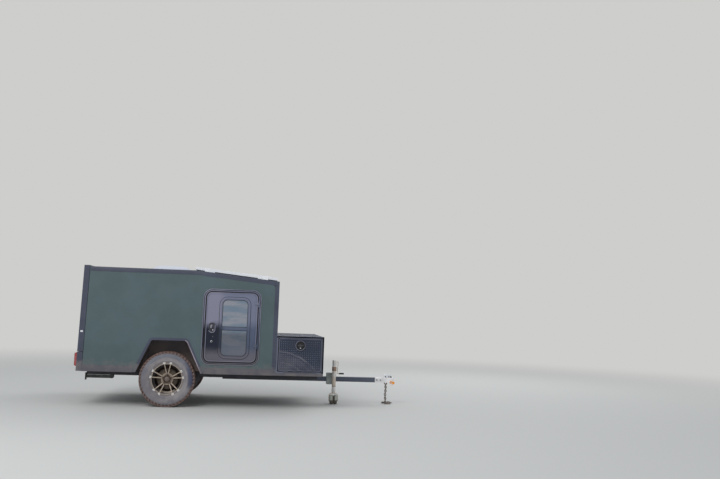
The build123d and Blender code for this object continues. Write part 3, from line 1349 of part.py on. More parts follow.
head_foot = jack_top - head_height
crank_level = jack_top - head_height / 2
with BuildPart() as jack_tube:
    with BuildSketch(Plane.XY.offset(jack_tube_bottom)):
        with Locations((jack_x, jack_y)):
            Circle(jack_tube_radius)
            Circle(jack_tube_radius - jack_tube_wall, mode=Mode.SUBTRACT)
    extrude(amount=head_foot - jack_tube_bottom)
    with BuildSketch(Plane.XY.offset(head_foot)):
        with Locations((jack_x, jack_y)):
            Circle(jack_tube_radius + head_rim)
    extrude(amount=head_height)
    fillet(jack_tube.faces().sort_by(Axis.Z)[-1].edges(), radius=crank_radius)
    with BuildSketch(Plane.XY.offset(jack_pivot_level + boss_radius + 2 * bracket_margin)):
        with Locations((jack_x, jack_y)):
            Circle(jack_tube_radius + head_rim)
            Circle(jack_tube_radius - jack_tube_wall, mode=Mode.SUBTRACT)
    extrude(amount=head_height / 2)
    with BuildSketch(Plane.XZ.offset(boss_end + panel_gap)):
        with Locations((jack_x, jack_pivot_level)):
            Circle(boss_radius + bracket_margin)
    extrude(amount=jack_from_middle - boss_end - panel_gap)
    with BuildSketch(Plane.XY.offset(jack_pivot_level - boss_radius - 2 * bracket_margin)):
        with Locations((jack_x, jack_y)):
            Circle(jack_tube_radius - jack_tube_wall)
    extrude(amount=2 * boss_radius + 4 * bracket_margin, mode=Mode.SUBTRACT)
    crank_x, crank_foot = jack_x + crank_reach, crank_level - crank_drop
    with BuildLine(Plane.XZ.offset(jack_from_middle)) as crank_path:
        FilletPolyline(
            (jack_x + jack_tube_radius - head_rim, crank_level),
            (crank_x, crank_level),
            (crank_x - crank_lean, crank_foot),
            (crank_x + crank_lean, crank_foot),
            radius=crank_radius * 1.5,
        )
    with BuildSketch(Plane.YZ.offset(jack_x + jack_tube_radius - head_rim)):
        with Locations((jack_y, crank_level)):
            Circle(crank_radius)
    sweep(path=crank_path.wires()[0])
    with BuildSketch(Plane.YZ.offset(crank_x + crank_lean - crank_radius)):
        with Locations((jack_y, crank_foot)):
            Circle(grip_radius)
    extrude(amount=grip_length)
    chamfer(jack_tube.edges(Select.LAST).group_by(Axis.X)[-1], length=grip_radius / 3)
keep(jack_tube, "jack_tube")

jack_leg_radius = jack_tube_radius - jack_tube_wall - jack_leg_clearance
leg_foot = jack_tube_bottom - leg_reveal
leg_top = head_foot - leg_head_gap
with BuildPart() as jack_leg:
    with BuildSketch(Plane.XY.offset(leg_foot)):
        with Locations((jack_x, jack_y)):
            Circle(jack_leg_radius)
            Circle(jack_leg_radius - jack_tube_wall, mode=Mode.SUBTRACT)
    extrude(amount=leg_top - leg_foot)
    with BuildSketch(Plane.XY.offset(leg_foot)):
        with Locations((jack_x, jack_y)):
            Circle(jack_leg_radius)
    extrude(amount=leg_plug)
keep(jack_leg, "jack_leg")

# Caster under the leg: a fork with bowed sides and a double wheel on a pin
crown_top = leg_foot - panel_gap
fork_half = caster_fork_width / 2
fork_inner = fork_half - caster_fork_plate
fork_low = caster_diameter / 2 - fork_under_pin
fork_bow = crown_top - fork_bow_drop
caster_z = caster_diameter / 2
with BuildPart() as caster_fork:
    with BuildSketch(Plane.XZ.offset(-jack_y - fork_depth / 2)):
        with BuildLine():
            for end in (-1, 1):
                Line((jack_x, crown_top), (jack_x + end * crown_half, crown_top))
                ThreePointArc(
                    (jack_x + end * crown_half, crown_top),
                    (jack_x + end * (fork_half - crown_thick / 2), crown_top - fork_bow_drop * 0.4),
                    (jack_x + end * fork_half, fork_bow),
                )
                Polyline(
                    (jack_x + end * fork_half, fork_bow),
                    (jack_x + end * fork_half, fork_low),
                    (jack_x + end * fork_inner, fork_low),
                    (jack_x + end * fork_inner, fork_bow),
                )
                ThreePointArc(
                    (jack_x + end * fork_inner, fork_bow),
                    (jack_x + end * (fork_inner - crown_thick / 2), fork_bow + fork_bow_drop * 0.45),
                    (jack_x + end * crown_half, crown_top - crown_thick),
                )
                Line((jack_x + end * crown_half, crown_top - crown_thick), (jack_x, crown_top - crown_thick))
        make_face()
    extrude(amount=fork_depth)
    with BuildSketch(Plane.YZ.offset(jack_x - fork_half - fork_pin_proud)):
        with Locations((jack_y, caster_z)):
            Circle(caster_pin_radius)
    extrude(amount=2 * (fork_half + fork_pin_proud))
keep(caster_fork, "caster_fork")

with BuildPart() as caster_wheel:
    with BuildSketch(Plane(origin=(jack_x, jack_y, caster_z), x_dir=(1, 0, 0), z_dir=(0, -1, 0))):
        rolling, wide = caster_diameter / 2, caster_width / 2
        bore = caster_pin_radius + hinge_pin_clearance
        with BuildLine():
            for end in (-1, 1):
                Polyline(
                    (0, rolling - caster_groove),
                    (end * (caster_groove_half - 2), rolling - caster_groove),
                    (end * caster_groove_half, rolling),
                    (end * (wide - caster_edge), rolling),
                    (end * wide, rolling - caster_edge),
                    (end * wide, caster_hub_radius),
                    (end * (wide - caster_edge), caster_hub_radius - caster_edge),
                    (end * (wide - caster_edge), bore + caster_edge),
                    (end * wide, bore + caster_edge),
                    (end * wide, bore),
                    (0, bore),
                )
        make_face()
    revolve(axis=Axis((jack_x, jack_y, caster_z), (1, 0, 0)))
keep(caster_wheel, "caster_wheel")

# Stabilisers: a bracket under each rail's rear end, and a leg that folds up along the rail
stabiliser_x = rear_x + stabiliser_from_rear
stabiliser_z = rail_bottom - stabiliser_drop - stabiliser_tube / 2
with BuildPart() as stabiliser_brackets:
    for side, _ in sides:
        for end in (-1, 1):
            ear_y = side * rail_spacing / 2 + end * (stabiliser_tube / 2 + ear_gap + ear_thick / 2)
            with BuildSketch(Plane.XZ.offset(-ear_y - ear_thick / 2)):
                with Locations((stabiliser_x, stabiliser_z)):
                    Circle(stabiliser_tube / 2 + ear_rim)
                with Locations((stabiliser_x, (stabiliser_z + rail_bottom) / 2)):
                    Rectangle(stabiliser_tube + 2 * ear_rim, rail_bottom - stabiliser_z)
            extrude(amount=ear_thick)
        with BuildSketch(Plane.XZ.offset(-side * rail_spacing / 2 - stabiliser_tube / 2 - ear_thick - ear_rim)):
            with Locations((stabiliser_x, stabiliser_z)):
                Circle(caster_pin_radius)
        extrude(amount=stabiliser_tube + 2 * (ear_thick + ear_rim))
keep(stabiliser_brackets, "stabiliser_brackets")

for side, hand in sides:
    with BuildPart() as stabiliser_leg:
        with BuildSketch(Plane.XZ.offset(-side * rail_spacing / 2 - stabiliser_tube / 2)):
            with Locations((stabiliser_x, stabiliser_z)):
                Circle(stabiliser_tube / 2)
            with Locations((stabiliser_x - stabiliser_length / 2, stabiliser_z)):
                Rectangle(stabiliser_length, stabiliser_tube)
            with Locations((stabiliser_x, stabiliser_z)):
                Circle(caster_pin_radius + hinge_pin_clearance, mode=Mode.SUBTRACT)
        extrude(amount=stabiliser_tube)
        with BuildSketch(Plane.YZ.offset(stabiliser_x - stabiliser_length - stabiliser_pad)):
            with Locations((side * rail_spacing / 2, stabiliser_z)):
                RectangleRounded(stabiliser_foot_width, stabiliser_foot, stabiliser_foot_corner)
        extrude(amount=stabiliser_pad)
    keep(stabiliser_leg, f"stabiliser_{hand}")
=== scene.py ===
"""Squareback teardrop trailer: trims, tread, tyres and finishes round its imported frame, in metres.

+X points to the coupler, +Y to the trailer's left and +Z up, as in the frame. Each sub-assembly is
a class whose fields are its sizes. Its build method makes the pieces and hangs them on the bodies.
"""
from __future__ import annotations

import json
import logging
import random
from dataclasses import dataclass, field
from enum import Enum
from math import atan2, cos, pi, radians, sin, tan
from typing import Iterable, Sequence

import bmesh
import bpy
from mathutils import Matrix, Vector


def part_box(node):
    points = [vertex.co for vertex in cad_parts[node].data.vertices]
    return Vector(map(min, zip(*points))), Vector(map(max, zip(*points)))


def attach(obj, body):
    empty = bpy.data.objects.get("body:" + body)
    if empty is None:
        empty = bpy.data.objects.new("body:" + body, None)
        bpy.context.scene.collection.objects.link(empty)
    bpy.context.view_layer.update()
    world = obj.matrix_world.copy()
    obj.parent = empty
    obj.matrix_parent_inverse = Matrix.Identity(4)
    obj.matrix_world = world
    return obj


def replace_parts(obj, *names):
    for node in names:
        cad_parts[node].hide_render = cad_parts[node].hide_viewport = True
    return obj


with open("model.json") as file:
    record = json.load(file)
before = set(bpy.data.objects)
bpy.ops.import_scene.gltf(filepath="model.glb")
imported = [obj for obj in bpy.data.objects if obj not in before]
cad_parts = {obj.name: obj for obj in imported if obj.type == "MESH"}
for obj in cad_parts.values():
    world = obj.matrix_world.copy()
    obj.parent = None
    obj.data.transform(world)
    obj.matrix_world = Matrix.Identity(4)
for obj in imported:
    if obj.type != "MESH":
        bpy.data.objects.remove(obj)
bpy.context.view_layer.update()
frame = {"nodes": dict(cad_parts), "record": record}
LOG = logging.getLogger("trailer")

Colour = tuple[float, float, float, float]
Pair = tuple[float, float]
Triple = tuple[float, float, float]
Section = Sequence[Pair]

SIDES = ((-1, "right"), (1, "left"))
WALL_LOW, WALL_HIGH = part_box("side_wall_left")
HALF, BODY_BOTTOM, ROOF_TOP, FRONT_X = WALL_HIGH.y, WALL_LOW.z, WALL_HIGH.z, WALL_HIGH.x
REAR_LOW, REAR_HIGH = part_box("rear_valance")
HATCH_LOW, HATCH_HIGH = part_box("hatch_panel")
ROOF_THICK = 0.038
ROOF_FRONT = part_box("roof_panel")[0].z + ROOF_THICK
REAR_RAKE = 0.021 / 1.286
AXLE = (-0.9475, 0.3445)
AXLE_X = AXLE[0]
BEND_X = AXLE_X + 0.304
ARCH_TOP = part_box("wheel_boxes")[1].z - 0.012
LIFT = 0.0002
SHEET = 0.0026


def shade(red: int, green: int, blue: int) -> Colour:
    """Turn a colour as it is seen on a screen into the linear values that shaders take.

    Args:
        red: Red from 0 to 255.
        green: Green from 0 to 255.
        blue: Blue from 0 to 255.

    Returns:
        The linear colour with full alpha.
    """
    def linear(value: int) -> float:
        """Undo the screen's curve for one channel."""
        part = value / 255
        return part / 12.92 if part <= 0.04045 else ((part + 0.055) / 1.055) ** 2.4

    return (linear(red), linear(green), linear(blue), 1.0)


class Sum(Enum):
    """Sums that a node does on one, two or three values."""

    ADD = "ADD"
    TAKE = "SUBTRACT"
    TIMES = "MULTIPLY"
    TIMES_AND_ADD = "MULTIPLY_ADD"
    LEAST = "MINIMUM"
    MOST = "MAXIMUM"
    SIZE = "ABSOLUTE"
    POWER = "POWER"
    ROOT = "SQRT"
    SINE = "SINE"


class Shading:
    """The nodes of one material while it is put together."""

    def __init__(self, name: str) -> None:
        """Start a material with its main shader and the object's own coordinates.

        Args:
            name: Name of the material.
        """
        self.material = bpy.data.materials.new(name)
        self.material.use_nodes = True
        self.tree = self.material.node_tree
        self.shader = self.tree.nodes["Principled BSDF"]
        self.place = self.tree.nodes.new("ShaderNodeTexCoord").outputs["Object"]

    def node(self, kind: str, settings: dict | None = None, **inputs: object) -> bpy.types.Node:
        """Add a node, set its options, and set or link its inputs.

        Args:
            kind: Blender's node type.
            settings: Options of the node, by attribute.
            **inputs: Values or output sockets by input name, with spaces as underscores.

        Returns:
            The new node.
        """
        made = self.tree.nodes.new(kind)
        for key, value in (settings or {}).items():
            setattr(made, key, value)
        for key, value in inputs.items():
            self.join(value, made.inputs[key.replace("_", " ")])
        return made

    def join(self, value: object, socket: bpy.types.NodeSocket) -> None:
        """Link an output socket to an input, or write a plain value into it.

        Args:
            value: A number, a colour or an output socket.
            socket: The input that takes it.
        """
        if isinstance(value, bpy.types.NodeSocket):
            self.tree.links.new(value, socket)
        else:
            socket.default_value = value

    def set(self, **values: object) -> None:
        """Set or link inputs of the main shader, with spaces as underscores."""
        for key, value in values.items():
            self.join(value, self.shader.inputs[key.replace("_", " ")])

    def stretched(self, scale: Triple) -> bpy.types.NodeSocket:
        """Give the object's coordinates multiplied by a scale for each axis."""
        return self.node("ShaderNodeMapping", None, Vector=self.place, Scale=scale).outputs["Vector"]

    def along(self, axis: str = "Z") -> bpy.types.NodeSocket:
        """Give one of the object's coordinates, in metres."""
        return self.node("ShaderNodeSeparateXYZ", None, Vector=self.place).outputs[axis]

    def reach(self, middle: Pair) -> bpy.types.NodeSocket:
        """Give the distance from a line across the trailer through (x, z), in metres.

        Args:
            middle: Where the line passes.

        Returns:
            The distance.
        """
        squares = [self.work(Sum.POWER, self.work(Sum.TAKE, self.along(axis), start), 2.0)
                   for axis, start in zip("XZ", middle)]
        return self.work(Sum.ROOT, self.work(Sum.ADD, *squares))

    def noise(self, scale: float, detail: float = 4.0, rough: float = 0.55,
              place: bpy.types.NodeSocket | None = None) -> bpy.types.NodeSocket:
        """Give a cloudy pattern from 0 to 1.

        Args:
            scale: Clouds per metre.
            detail: Number of finer layers.
            rough: Weight of the finer layers.
            place: Coordinates to use in place of the object's own.

        Returns:
            The pattern's output socket.
        """
        return self.node("ShaderNodeTexNoise", None, Vector=place or self.place, Scale=scale, Detail=detail,
                         Roughness=rough).outputs["Fac"]

    def cells(self, scale: float) -> bpy.types.NodeSocket:
        """Give the distance to the nearest of scattered points, as for specks."""
        return self.node("ShaderNodeTexVoronoi", None, Vector=self.place, Scale=scale).outputs["Distance"]

    def bands(self, direction: str, scale: float) -> bpy.types.NodeSocket:
        """Give parallel waves from 0 to 1 along an axis."""
        return self.node("ShaderNodeTexWave", {"bands_direction": direction}, Vector=self.place,
                         Scale=scale).outputs["Fac"]

    def between(self, value: bpy.types.NodeSocket, low: float, high: float,
                start: float = 0.0, end: float = 1.0) -> bpy.types.NodeSocket:
        """Spread the range from low to high over start to end, smoothly and with no overshoot.

        Args:
            value: The number to spread.
            low: Start of its range.
            high: End of its range.
            start: Result at the start.
            end: Result at the end.

        Returns:
            The result.
        """
        made = self.node("ShaderNodeMapRange", {"interpolation_type": "SMOOTHSTEP"})
        for index, number in enumerate((value, low, high, start, end)):
            self.join(number, made.inputs[index])
        return made.outputs["Result"]

    def work(self, operation: Sum, *values: object) -> bpy.types.NodeSocket:
        """Give the result of a sum on up to three values.

        Args:
            operation: The sum.
            *values: Numbers or sockets that it takes.

        Returns:
            The result.
        """
        made = self.node("ShaderNodeMath", {"operation": operation.value})
        for index, value in enumerate(values):
            self.join(value, made.inputs[index])
        return made.outputs["Value"]

    def times(self, first: object, second: object) -> bpy.types.NodeSocket:
        """Multiply two values."""
        return self.work(Sum.TIMES, first, second)

    def over(self, share: object, under: object, upper: object) -> bpy.types.NodeSocket:
        """Lay an upper colour over one below, by the share of it that shows.

        Args:
            share: Share of the upper colour.
            under: The colour below.
            upper: The colour above.

        Returns:
            The mixed colour.
        """
        made = self.node("ShaderNodeMix", {"data_type": "RGBA"})
        for name, value in (("Factor", share), ("A", under), ("B", upper)):
            self.join(value, made.inputs[name])
        return made.outputs["Result"]

    def relief(self, height: bpy.types.NodeSocket, depth: float) -> None:
        """Raise the surface by a pattern, by depth metres at most."""
        self.set(Normal=self.node("ShaderNodeBump", None, Height=height, Distance=depth).outputs["Normal"])


@dataclass(frozen=True)
class Dust:
    """Road dust that lies thick low down, thins out upwards and leaves splashes.

    Attributes:
        colour: Colour of the dust.
        full: Height up to which it lies thickest.
        clear: Height at which it ends.
        most: Share of the surface that it hides where it is thickest.
        film: Share that it hides everywhere.
        specks: Strength of the splashed specks.
        ragged: How far its upper edge wanders up and down.
        splash: How far above its edge the specks reach.
    """

    colour: Colour = shade(120, 114, 114)
    full: float = 0.43
    clear: float = 0.62
    most: float = 0.6
    film: float = 0.05
    specks: float = 0.35
    ragged: float = 0.045
    splash: float = 0.5

    def mask(self, made: Shading) -> bpy.types.NodeSocket:
        """Give the share of dust over the surface.

        Args:
            made: The shading that takes the nodes.

        Returns:
            The share, from 0 to 1.
        """
        height = made.along()
        ragged = made.between(made.noise(15.0, 6.0, 0.7), 0.3, 0.7, -self.ragged, self.ragged)
        rise = made.between(made.work(Sum.ADD, height, ragged), self.full, self.clear, 1.0, 0.0)
        patchy = made.between(made.noise(5.0, 6.0, 0.62), 0.3, 0.68)
        drifts = made.times(made.times(rise, made.work(Sum.TIMES_AND_ADD, patchy, 0.7, 0.5)), self.most)
        specks = made.between(made.cells(85.0), 0.11, 0.2, self.specks, 0.0)
        specks = made.times(specks, made.between(made.noise(9.0, 2.0), 0.5, 0.62))
        specks = made.times(specks, made.between(height, self.clear, self.clear + self.splash, 1.0, 0.0))
        return made.work(Sum.MOST, made.work(Sum.MOST, drifts, specks), made.times(patchy, self.film))


@dataclass(frozen=True)
class Finish:
    """A finish that goes by its material slot or by a name of its own.

    Attributes:
        name: Name of the material.
    """

    name: str

    def paint(self, made: Shading) -> None:
        """Set the colours, the gloss and the relief of a fresh material."""
        raise NotImplementedError(self.name)

    def material(self) -> bpy.types.Material:
        """Build the material.

        Returns:
            The material.
        """
        made = Shading(self.name)
        self.paint(made)
        return made.material


@dataclass(frozen=True)
class Coating(Finish):
    """A paint, plating or moulded plastic with grain, faint patches and dust.

    Attributes:
        colour: Main colour.
        second: Colour of the faint patches.
        metal: How much of it is bare metal, from 0 to 1.
        rough: Roughness of the clean surface.
        coat: Weight of a clear coat.
        grain: Grains per metre of the fine relief.
        depth: Depth of that relief in metres.
        patches: Patches per metre.
        dust: The dust on it, if it has any.
    """

    colour: Colour
    second: Colour
    metal: float = 0.0
    rough: float = 0.4
    coat: float = 0.0
    grain: float = 900.0
    depth: float = 0.0002
    patches: float = 3.0
    dust: Dust | None = None

    def paint(self, made: Shading) -> None:
        """Lay the faint patches over the main colour, and the dust over both.

        Args:
            made: The shading that takes the nodes.
        """
        colour = made.over(made.between(made.noise(self.patches, 5.0), 0.35, 0.68), self.colour, self.second)
        if self.dust:
            mask = self.dust.mask(made)
            colour = made.over(mask, colour, self.dust.colour)
            rough = made.work(Sum.ADD, made.between(mask, 0.0, 0.7, 0.0, 0.5), self.rough)
            rough = made.work(Sum.LEAST, rough, 0.95)
        else:
            cloud = made.noise(self.patches * 7, 4.0)
            rough = made.between(cloud, 0.3, 0.7, self.rough - 0.05, self.rough + 0.07)
        made.set(Base_Color=colour, Roughness=rough, Metallic=self.metal, Coat_Weight=self.coat,
                 Coat_Roughness=0.12)
        made.relief(made.noise(self.grain, 2.0), self.depth)


@dataclass(frozen=True)
class Plywood(Finish):
    """Clear-coated birch boards with their grain along one axis."""

    name: str = "plywood"
    light: Colour = shade(202, 170, 128)
    dark: Colour = shade(158, 120, 80)

    def paint(self, made: Shading) -> None:
        """Draw the grain out along the boards.

        Args:
            made: The shading that takes the nodes.
        """
        grain = made.noise(26.0, 8.0, 0.7, made.stretched((6.0, 0.5, 6.0)))
        made.set(Base_Color=made.over(made.between(grain, 0.35, 0.7), self.light, self.dark), Roughness=0.5)
        made.relief(grain, 0.0003)


@dataclass(frozen=True)
class WipedPlate(Finish):
    """Painted tread plate with dust behind arcs where an arm has swept over it.

    Attributes:
        colour: Main colour.
        second: Colour of the faint patches.
        dust: Colour of the dust.
        wiped_from: Middle of the arcs, as (x, z).
        arc: Radius of the outer arc.
        inner: From the outer arc in to the inner one.
        inside: Share of dust inside the outer arc.
        line: Share of dust pushed up along the arcs.
    """

    colour: Colour
    second: Colour
    dust: Colour = shade(122, 118, 124)
    wiped_from: Pair = (0.402, 0.103)
    arc: float = 0.6255
    inner: float = 0.135
    inside: float = 0.34
    line: float = 0.62

    def paint(self, made: Shading) -> None:
        """Lay dust inside and along the arcs on the upright faces, and at the foot.

        Args:
            made: The shading that takes the nodes.
        """
        colour = made.over(made.between(made.noise(3.0, 5.0), 0.35, 0.68), self.colour, self.second)
        patchy = made.between(made.noise(7.0, 6.0, 0.62), 0.3, 0.68, 0.35, 1.0)
        wavy = made.between(made.noise(11.0, 3.0), 0.2, 0.8, -0.006, 0.006)
        far = made.work(Sum.ADD, made.reach(self.wiped_from), wavy)
        inside = made.times(made.between(far, self.arc - 0.05, self.arc, 1.0, 0.0), self.inside)
        arcs = [made.work(Sum.SIZE, made.work(Sum.TAKE, far, radius))
                for radius in (self.arc, self.arc - self.inner)]
        line = made.times(made.between(made.work(Sum.LEAST, *arcs), 0.005, 0.017, 1.0, 0.0), self.line)
        upright = made.between(made.work(Sum.SIZE, made.along("Y")), HALF - 0.02, HALF - 0.01)
        marks = made.times(made.work(Sum.MOST, inside, line), upright)
        foot = made.between(made.along(), 0.44, 0.60, 0.45, 0.06)
        mask = made.times(made.work(Sum.MOST, marks, foot), patchy)
        made.set(Base_Color=made.over(mask, colour, self.dust),
                 Metallic=made.between(mask, 0.0, 0.7, 0.3, 0.0),
                 Roughness=made.between(mask, 0.0, 0.7, 0.38, 0.85))
        made.relief(made.noise(900.0, 2.0), 0.0002)


@dataclass(frozen=True)
class GlossPaint(Finish):
    """Gloss black paint with a pale painted sky reflection in its upper half, deep below, dusty at its foot.

    Attributes:
        deep: Colour of the clean paint.
        sky_reflection: Colour of the painted sky reflection.
        cool_reflection: Colour of the painted reflection towards the hinges.
        dust: Colour of the dust at the foot.
        levels: Heights between which the painted reflection fades in.
        foot: Heights between which the dust fades out.
        splash: Heights between which the specks fade out.
        hinge_side: Places along X between which the painted reflection spreads lower.
    """

    name: str = "door_black"
    deep: Colour = shade(14, 24, 44)
    sky_reflection: Colour = shade(134, 134, 154)
    cool_reflection: Colour = shade(96, 108, 134)
    dust: Colour = shade(112, 108, 118)
    levels: Pair = (0.955, 1.10)
    foot: Pair = (0.64, 0.80)
    splash: Pair = (0.66, 0.98)
    hinge_side: Pair = (-0.36, -0.24)

    def paint(self, made: Shading) -> None:
        """Fade the painted reflection in upwards and towards the hinges, and lay dust and specks over the
        foot.

        Args:
            made: The shading that takes the nodes.
        """
        height = made.along()
        cloud = made.noise(4.0, 5.0, 0.6)
        wavy = made.work(Sum.ADD, height, made.between(cloud, 0.2, 0.8, -0.03, 0.03))
        hinges = made.between(made.along("X"), *self.hinge_side)
        # Painted reflection: a bluer sky reflection that reaches lower on the hinge side.
        beside = made.times(made.times(hinges, 0.72), made.between(wavy, 0.60, 1.0, 0.7, 1.0))
        sky_reflection = made.over(made.times(hinges, 0.5), self.sky_reflection, self.cool_reflection)
        # Painted reflection: the pale sky reflection fades in upwards over the deep paint.
        colour = made.over(made.between(wavy, *self.levels), made.over(beside, self.deep, self.cool_reflection), sky_reflection)
        specks = made.between(made.cells(85.0), 0.1, 0.2, 0.5, 0.0)
        specks = made.times(specks, made.between(height, *self.splash, 1.0, 0.0))
        specks = made.times(specks, made.between(cloud, 0.42, 0.6))
        dusty = made.work(Sum.MOST, made.between(wavy, *self.foot, 0.75, 0.0), specks)
        made.set(Base_Color=made.over(dusty, colour, self.dust), Specular_IOR_Level=0.25,
                 Roughness=made.between(dusty, 0.0, 0.7, 0.22, 0.8), Coat_Weight=0.3, Coat_Roughness=0.08)
        made.relief(made.noise(900.0, 2.0), 0.00005)


@dataclass(frozen=True)
class MirrorGlass(Finish):
    """Privacy glass that mirrors the sky: pale bands of painted sky reflection above, darker lower down and
    under a film of dust below.

    Attributes:
        tint: Colour of the glass's mirror.
        sky_streak: Colour of its pale bands of painted sky reflection.
        shadow: Colour that the lower pane darkens to.
        film: Colour of the dust.
        dusty: Heights between which the dust thins out.
        dark: Heights between which the shadow fades out.
    """

    name: str = "window_glass"
    tint: Colour = shade(132, 150, 170)
    sky_streak: Colour = shade(164, 168, 180)
    shadow: Colour = shade(40, 52, 64)
    film: Colour = shade(108, 110, 122)
    dusty: Pair = (0.66, 1.00)
    dark: Pair = (0.90, 0.99)

    def paint(self, made: Shading) -> None:
        """Lay pale bands of painted sky reflection over the mirror, darken its lower part and lay the dust
        over it.

        Args:
            made: The shading that takes the nodes.
        """
        height = made.along()
        patchy = made.between(made.noise(7.0, 6.0), 0.3, 0.7, 0.4, 1.0)
        dusty = made.times(made.between(height, *self.dusty, 0.75, 0.04), patchy)
        # Painted reflection: pale level bands of sky over the mirror's colour.
        sky_streaks = made.between(made.noise(3.0, 4.0, 0.6, made.stretched((1.0, 1.0, 4.5))), 0.36, 0.64)
        clean = made.over(sky_streaks, self.tint, self.sky_streak)
        clean = made.over(made.between(height, *self.dark, 0.55, 0.0), clean, self.shadow)
        made.set(Base_Color=made.over(dusty, clean, self.film),
                 Metallic=made.between(dusty, 0.0, 0.8, 0.85, 0.3),
                 Roughness=made.between(dusty, 0.0, 0.6, 0.05, 0.5))


@dataclass(frozen=True)
class SolarCells(Finish):
    """Dark cells in rows under glass, with pale gaps and silver strips."""

    name: str = "solar_cells"
    cell: Colour = shade(22, 28, 52)
    second: Colour = shade(26, 34, 60)
    gap: Colour = shade(190, 196, 204)
    cell_size: float = 0.158
    gap_width: float = 0.0018

    def paint(self, made: Shading) -> None:
        """Lay the cells out as bricks without offset, and draw the strips over them.

        Args:
            made: The shading that takes the nodes.
        """
        grid = made.node("ShaderNodeTexBrick", {"offset": 0.0, "squash": 1.0}, Vector=made.place, Scale=1.0,
                         Color1=self.cell, Color2=self.second, Mortar=self.gap, Mortar_Size=self.gap_width,
                         Brick_Width=self.cell_size, Row_Height=self.cell_size)
        lines = made.between(made.bands("X", 1 / self.cell_size), 0.985, 0.998)
        made.set(Base_Color=made.over(lines, grid.outputs["Color"], self.gap), Roughness=0.3, Coat_Weight=0.4,
                 Coat_Roughness=0.22)


@dataclass(frozen=True)
class TyreRubber(Finish):
    """Rubber under dried mud: pale on the sidewall, a bluish painted sky sheen in an outer band, rust-brown
    in the tread.

    Attributes:
        dusty: Colour of the dry mud.
        pale: Colour where it lies thickest.
        sky_sheen: Colour of the painted sky sheen in the outer band.
        bare: Dark bluish colour of the moulded rings and of a darker patch towards the front.
        tread: Colour of the mud in the tread.
        band: Radii where the outer band starts and ends.
        worn: Radii between which the tread's mud sets in.
        ahead: From the axle on, where along X the darker patch sets in.
    """

    name: str = "tyre_rubber"
    dusty: Colour = shade(124, 120, 124)
    pale: Colour = shade(152, 147, 148)
    sky_sheen: Colour = shade(98, 106, 122)
    bare: Colour = shade(62, 70, 98)
    tread: Colour = shade(118, 92, 82)
    band: tuple[float, float, float, float] = (0.252, 0.272, 0.318, 0.328)
    worn: Pair = (0.302, 0.334)
    ahead: Pair = (0.18, 0.29)

    def paint(self, made: Shading) -> None:
        """Lay mud, the painted sky sheen in the outer band, the darker front patch, fine moulded rings and
        the tread's rust over one another.

        Args:
            made: The shading that takes the nodes.
        """
        far = made.reach(AXLE)
        height = made.along()
        cloud = made.noise(5.0, 6.0, 0.62)
        grit = made.noise(170.0, 3.0)
        colour = made.over(made.between(cloud, 0.36, 0.64), self.dusty, self.pale)
        band = made.times(made.between(far, *self.band[:2]), made.between(far, *self.band[2:], 1.0, 0.0))
        # Painted highlight: a bluish sky sheen in the outer band, stronger towards the top.
        upper = made.between(height, 0.30, 0.52, 0.15, 0.62)
        sky_sheen = made.times(band, made.times(upper, made.between(made.noise(9.0, 5.0), 0.3, 0.55)))
        colour = made.over(sky_sheen, colour, self.sky_sheen)
        # Darker and bluer towards the front, from just under the axle's height upwards.
        ahead = made.between(made.along("X"), *(AXLE_X + start for start in self.ahead))
        dark = made.times(made.times(band, ahead), made.times(made.between(height, 0.20, 0.30), 0.8))
        colour = made.over(dark, colour, self.bare)
        rings = made.between(made.work(Sum.SINE, made.times(far, 420.0)), 0.5, 1.0, 0.0, 0.16)
        colour = made.over(rings, colour, self.bare)
        rust = made.times(made.between(far, *self.worn), made.between(cloud, 0.3, 0.6, 0.5, 1.0))
        colour = made.over(rust, colour, self.tread)
        colour = made.over(made.between(grit, 0.5, 0.78, 0.0, 0.3), colour, self.tread)
        made.set(Base_Color=colour, Roughness=made.between(sky_sheen, 0.0, 1.0, 0.93, 0.72))
        made.relief(grit, 0.0009)


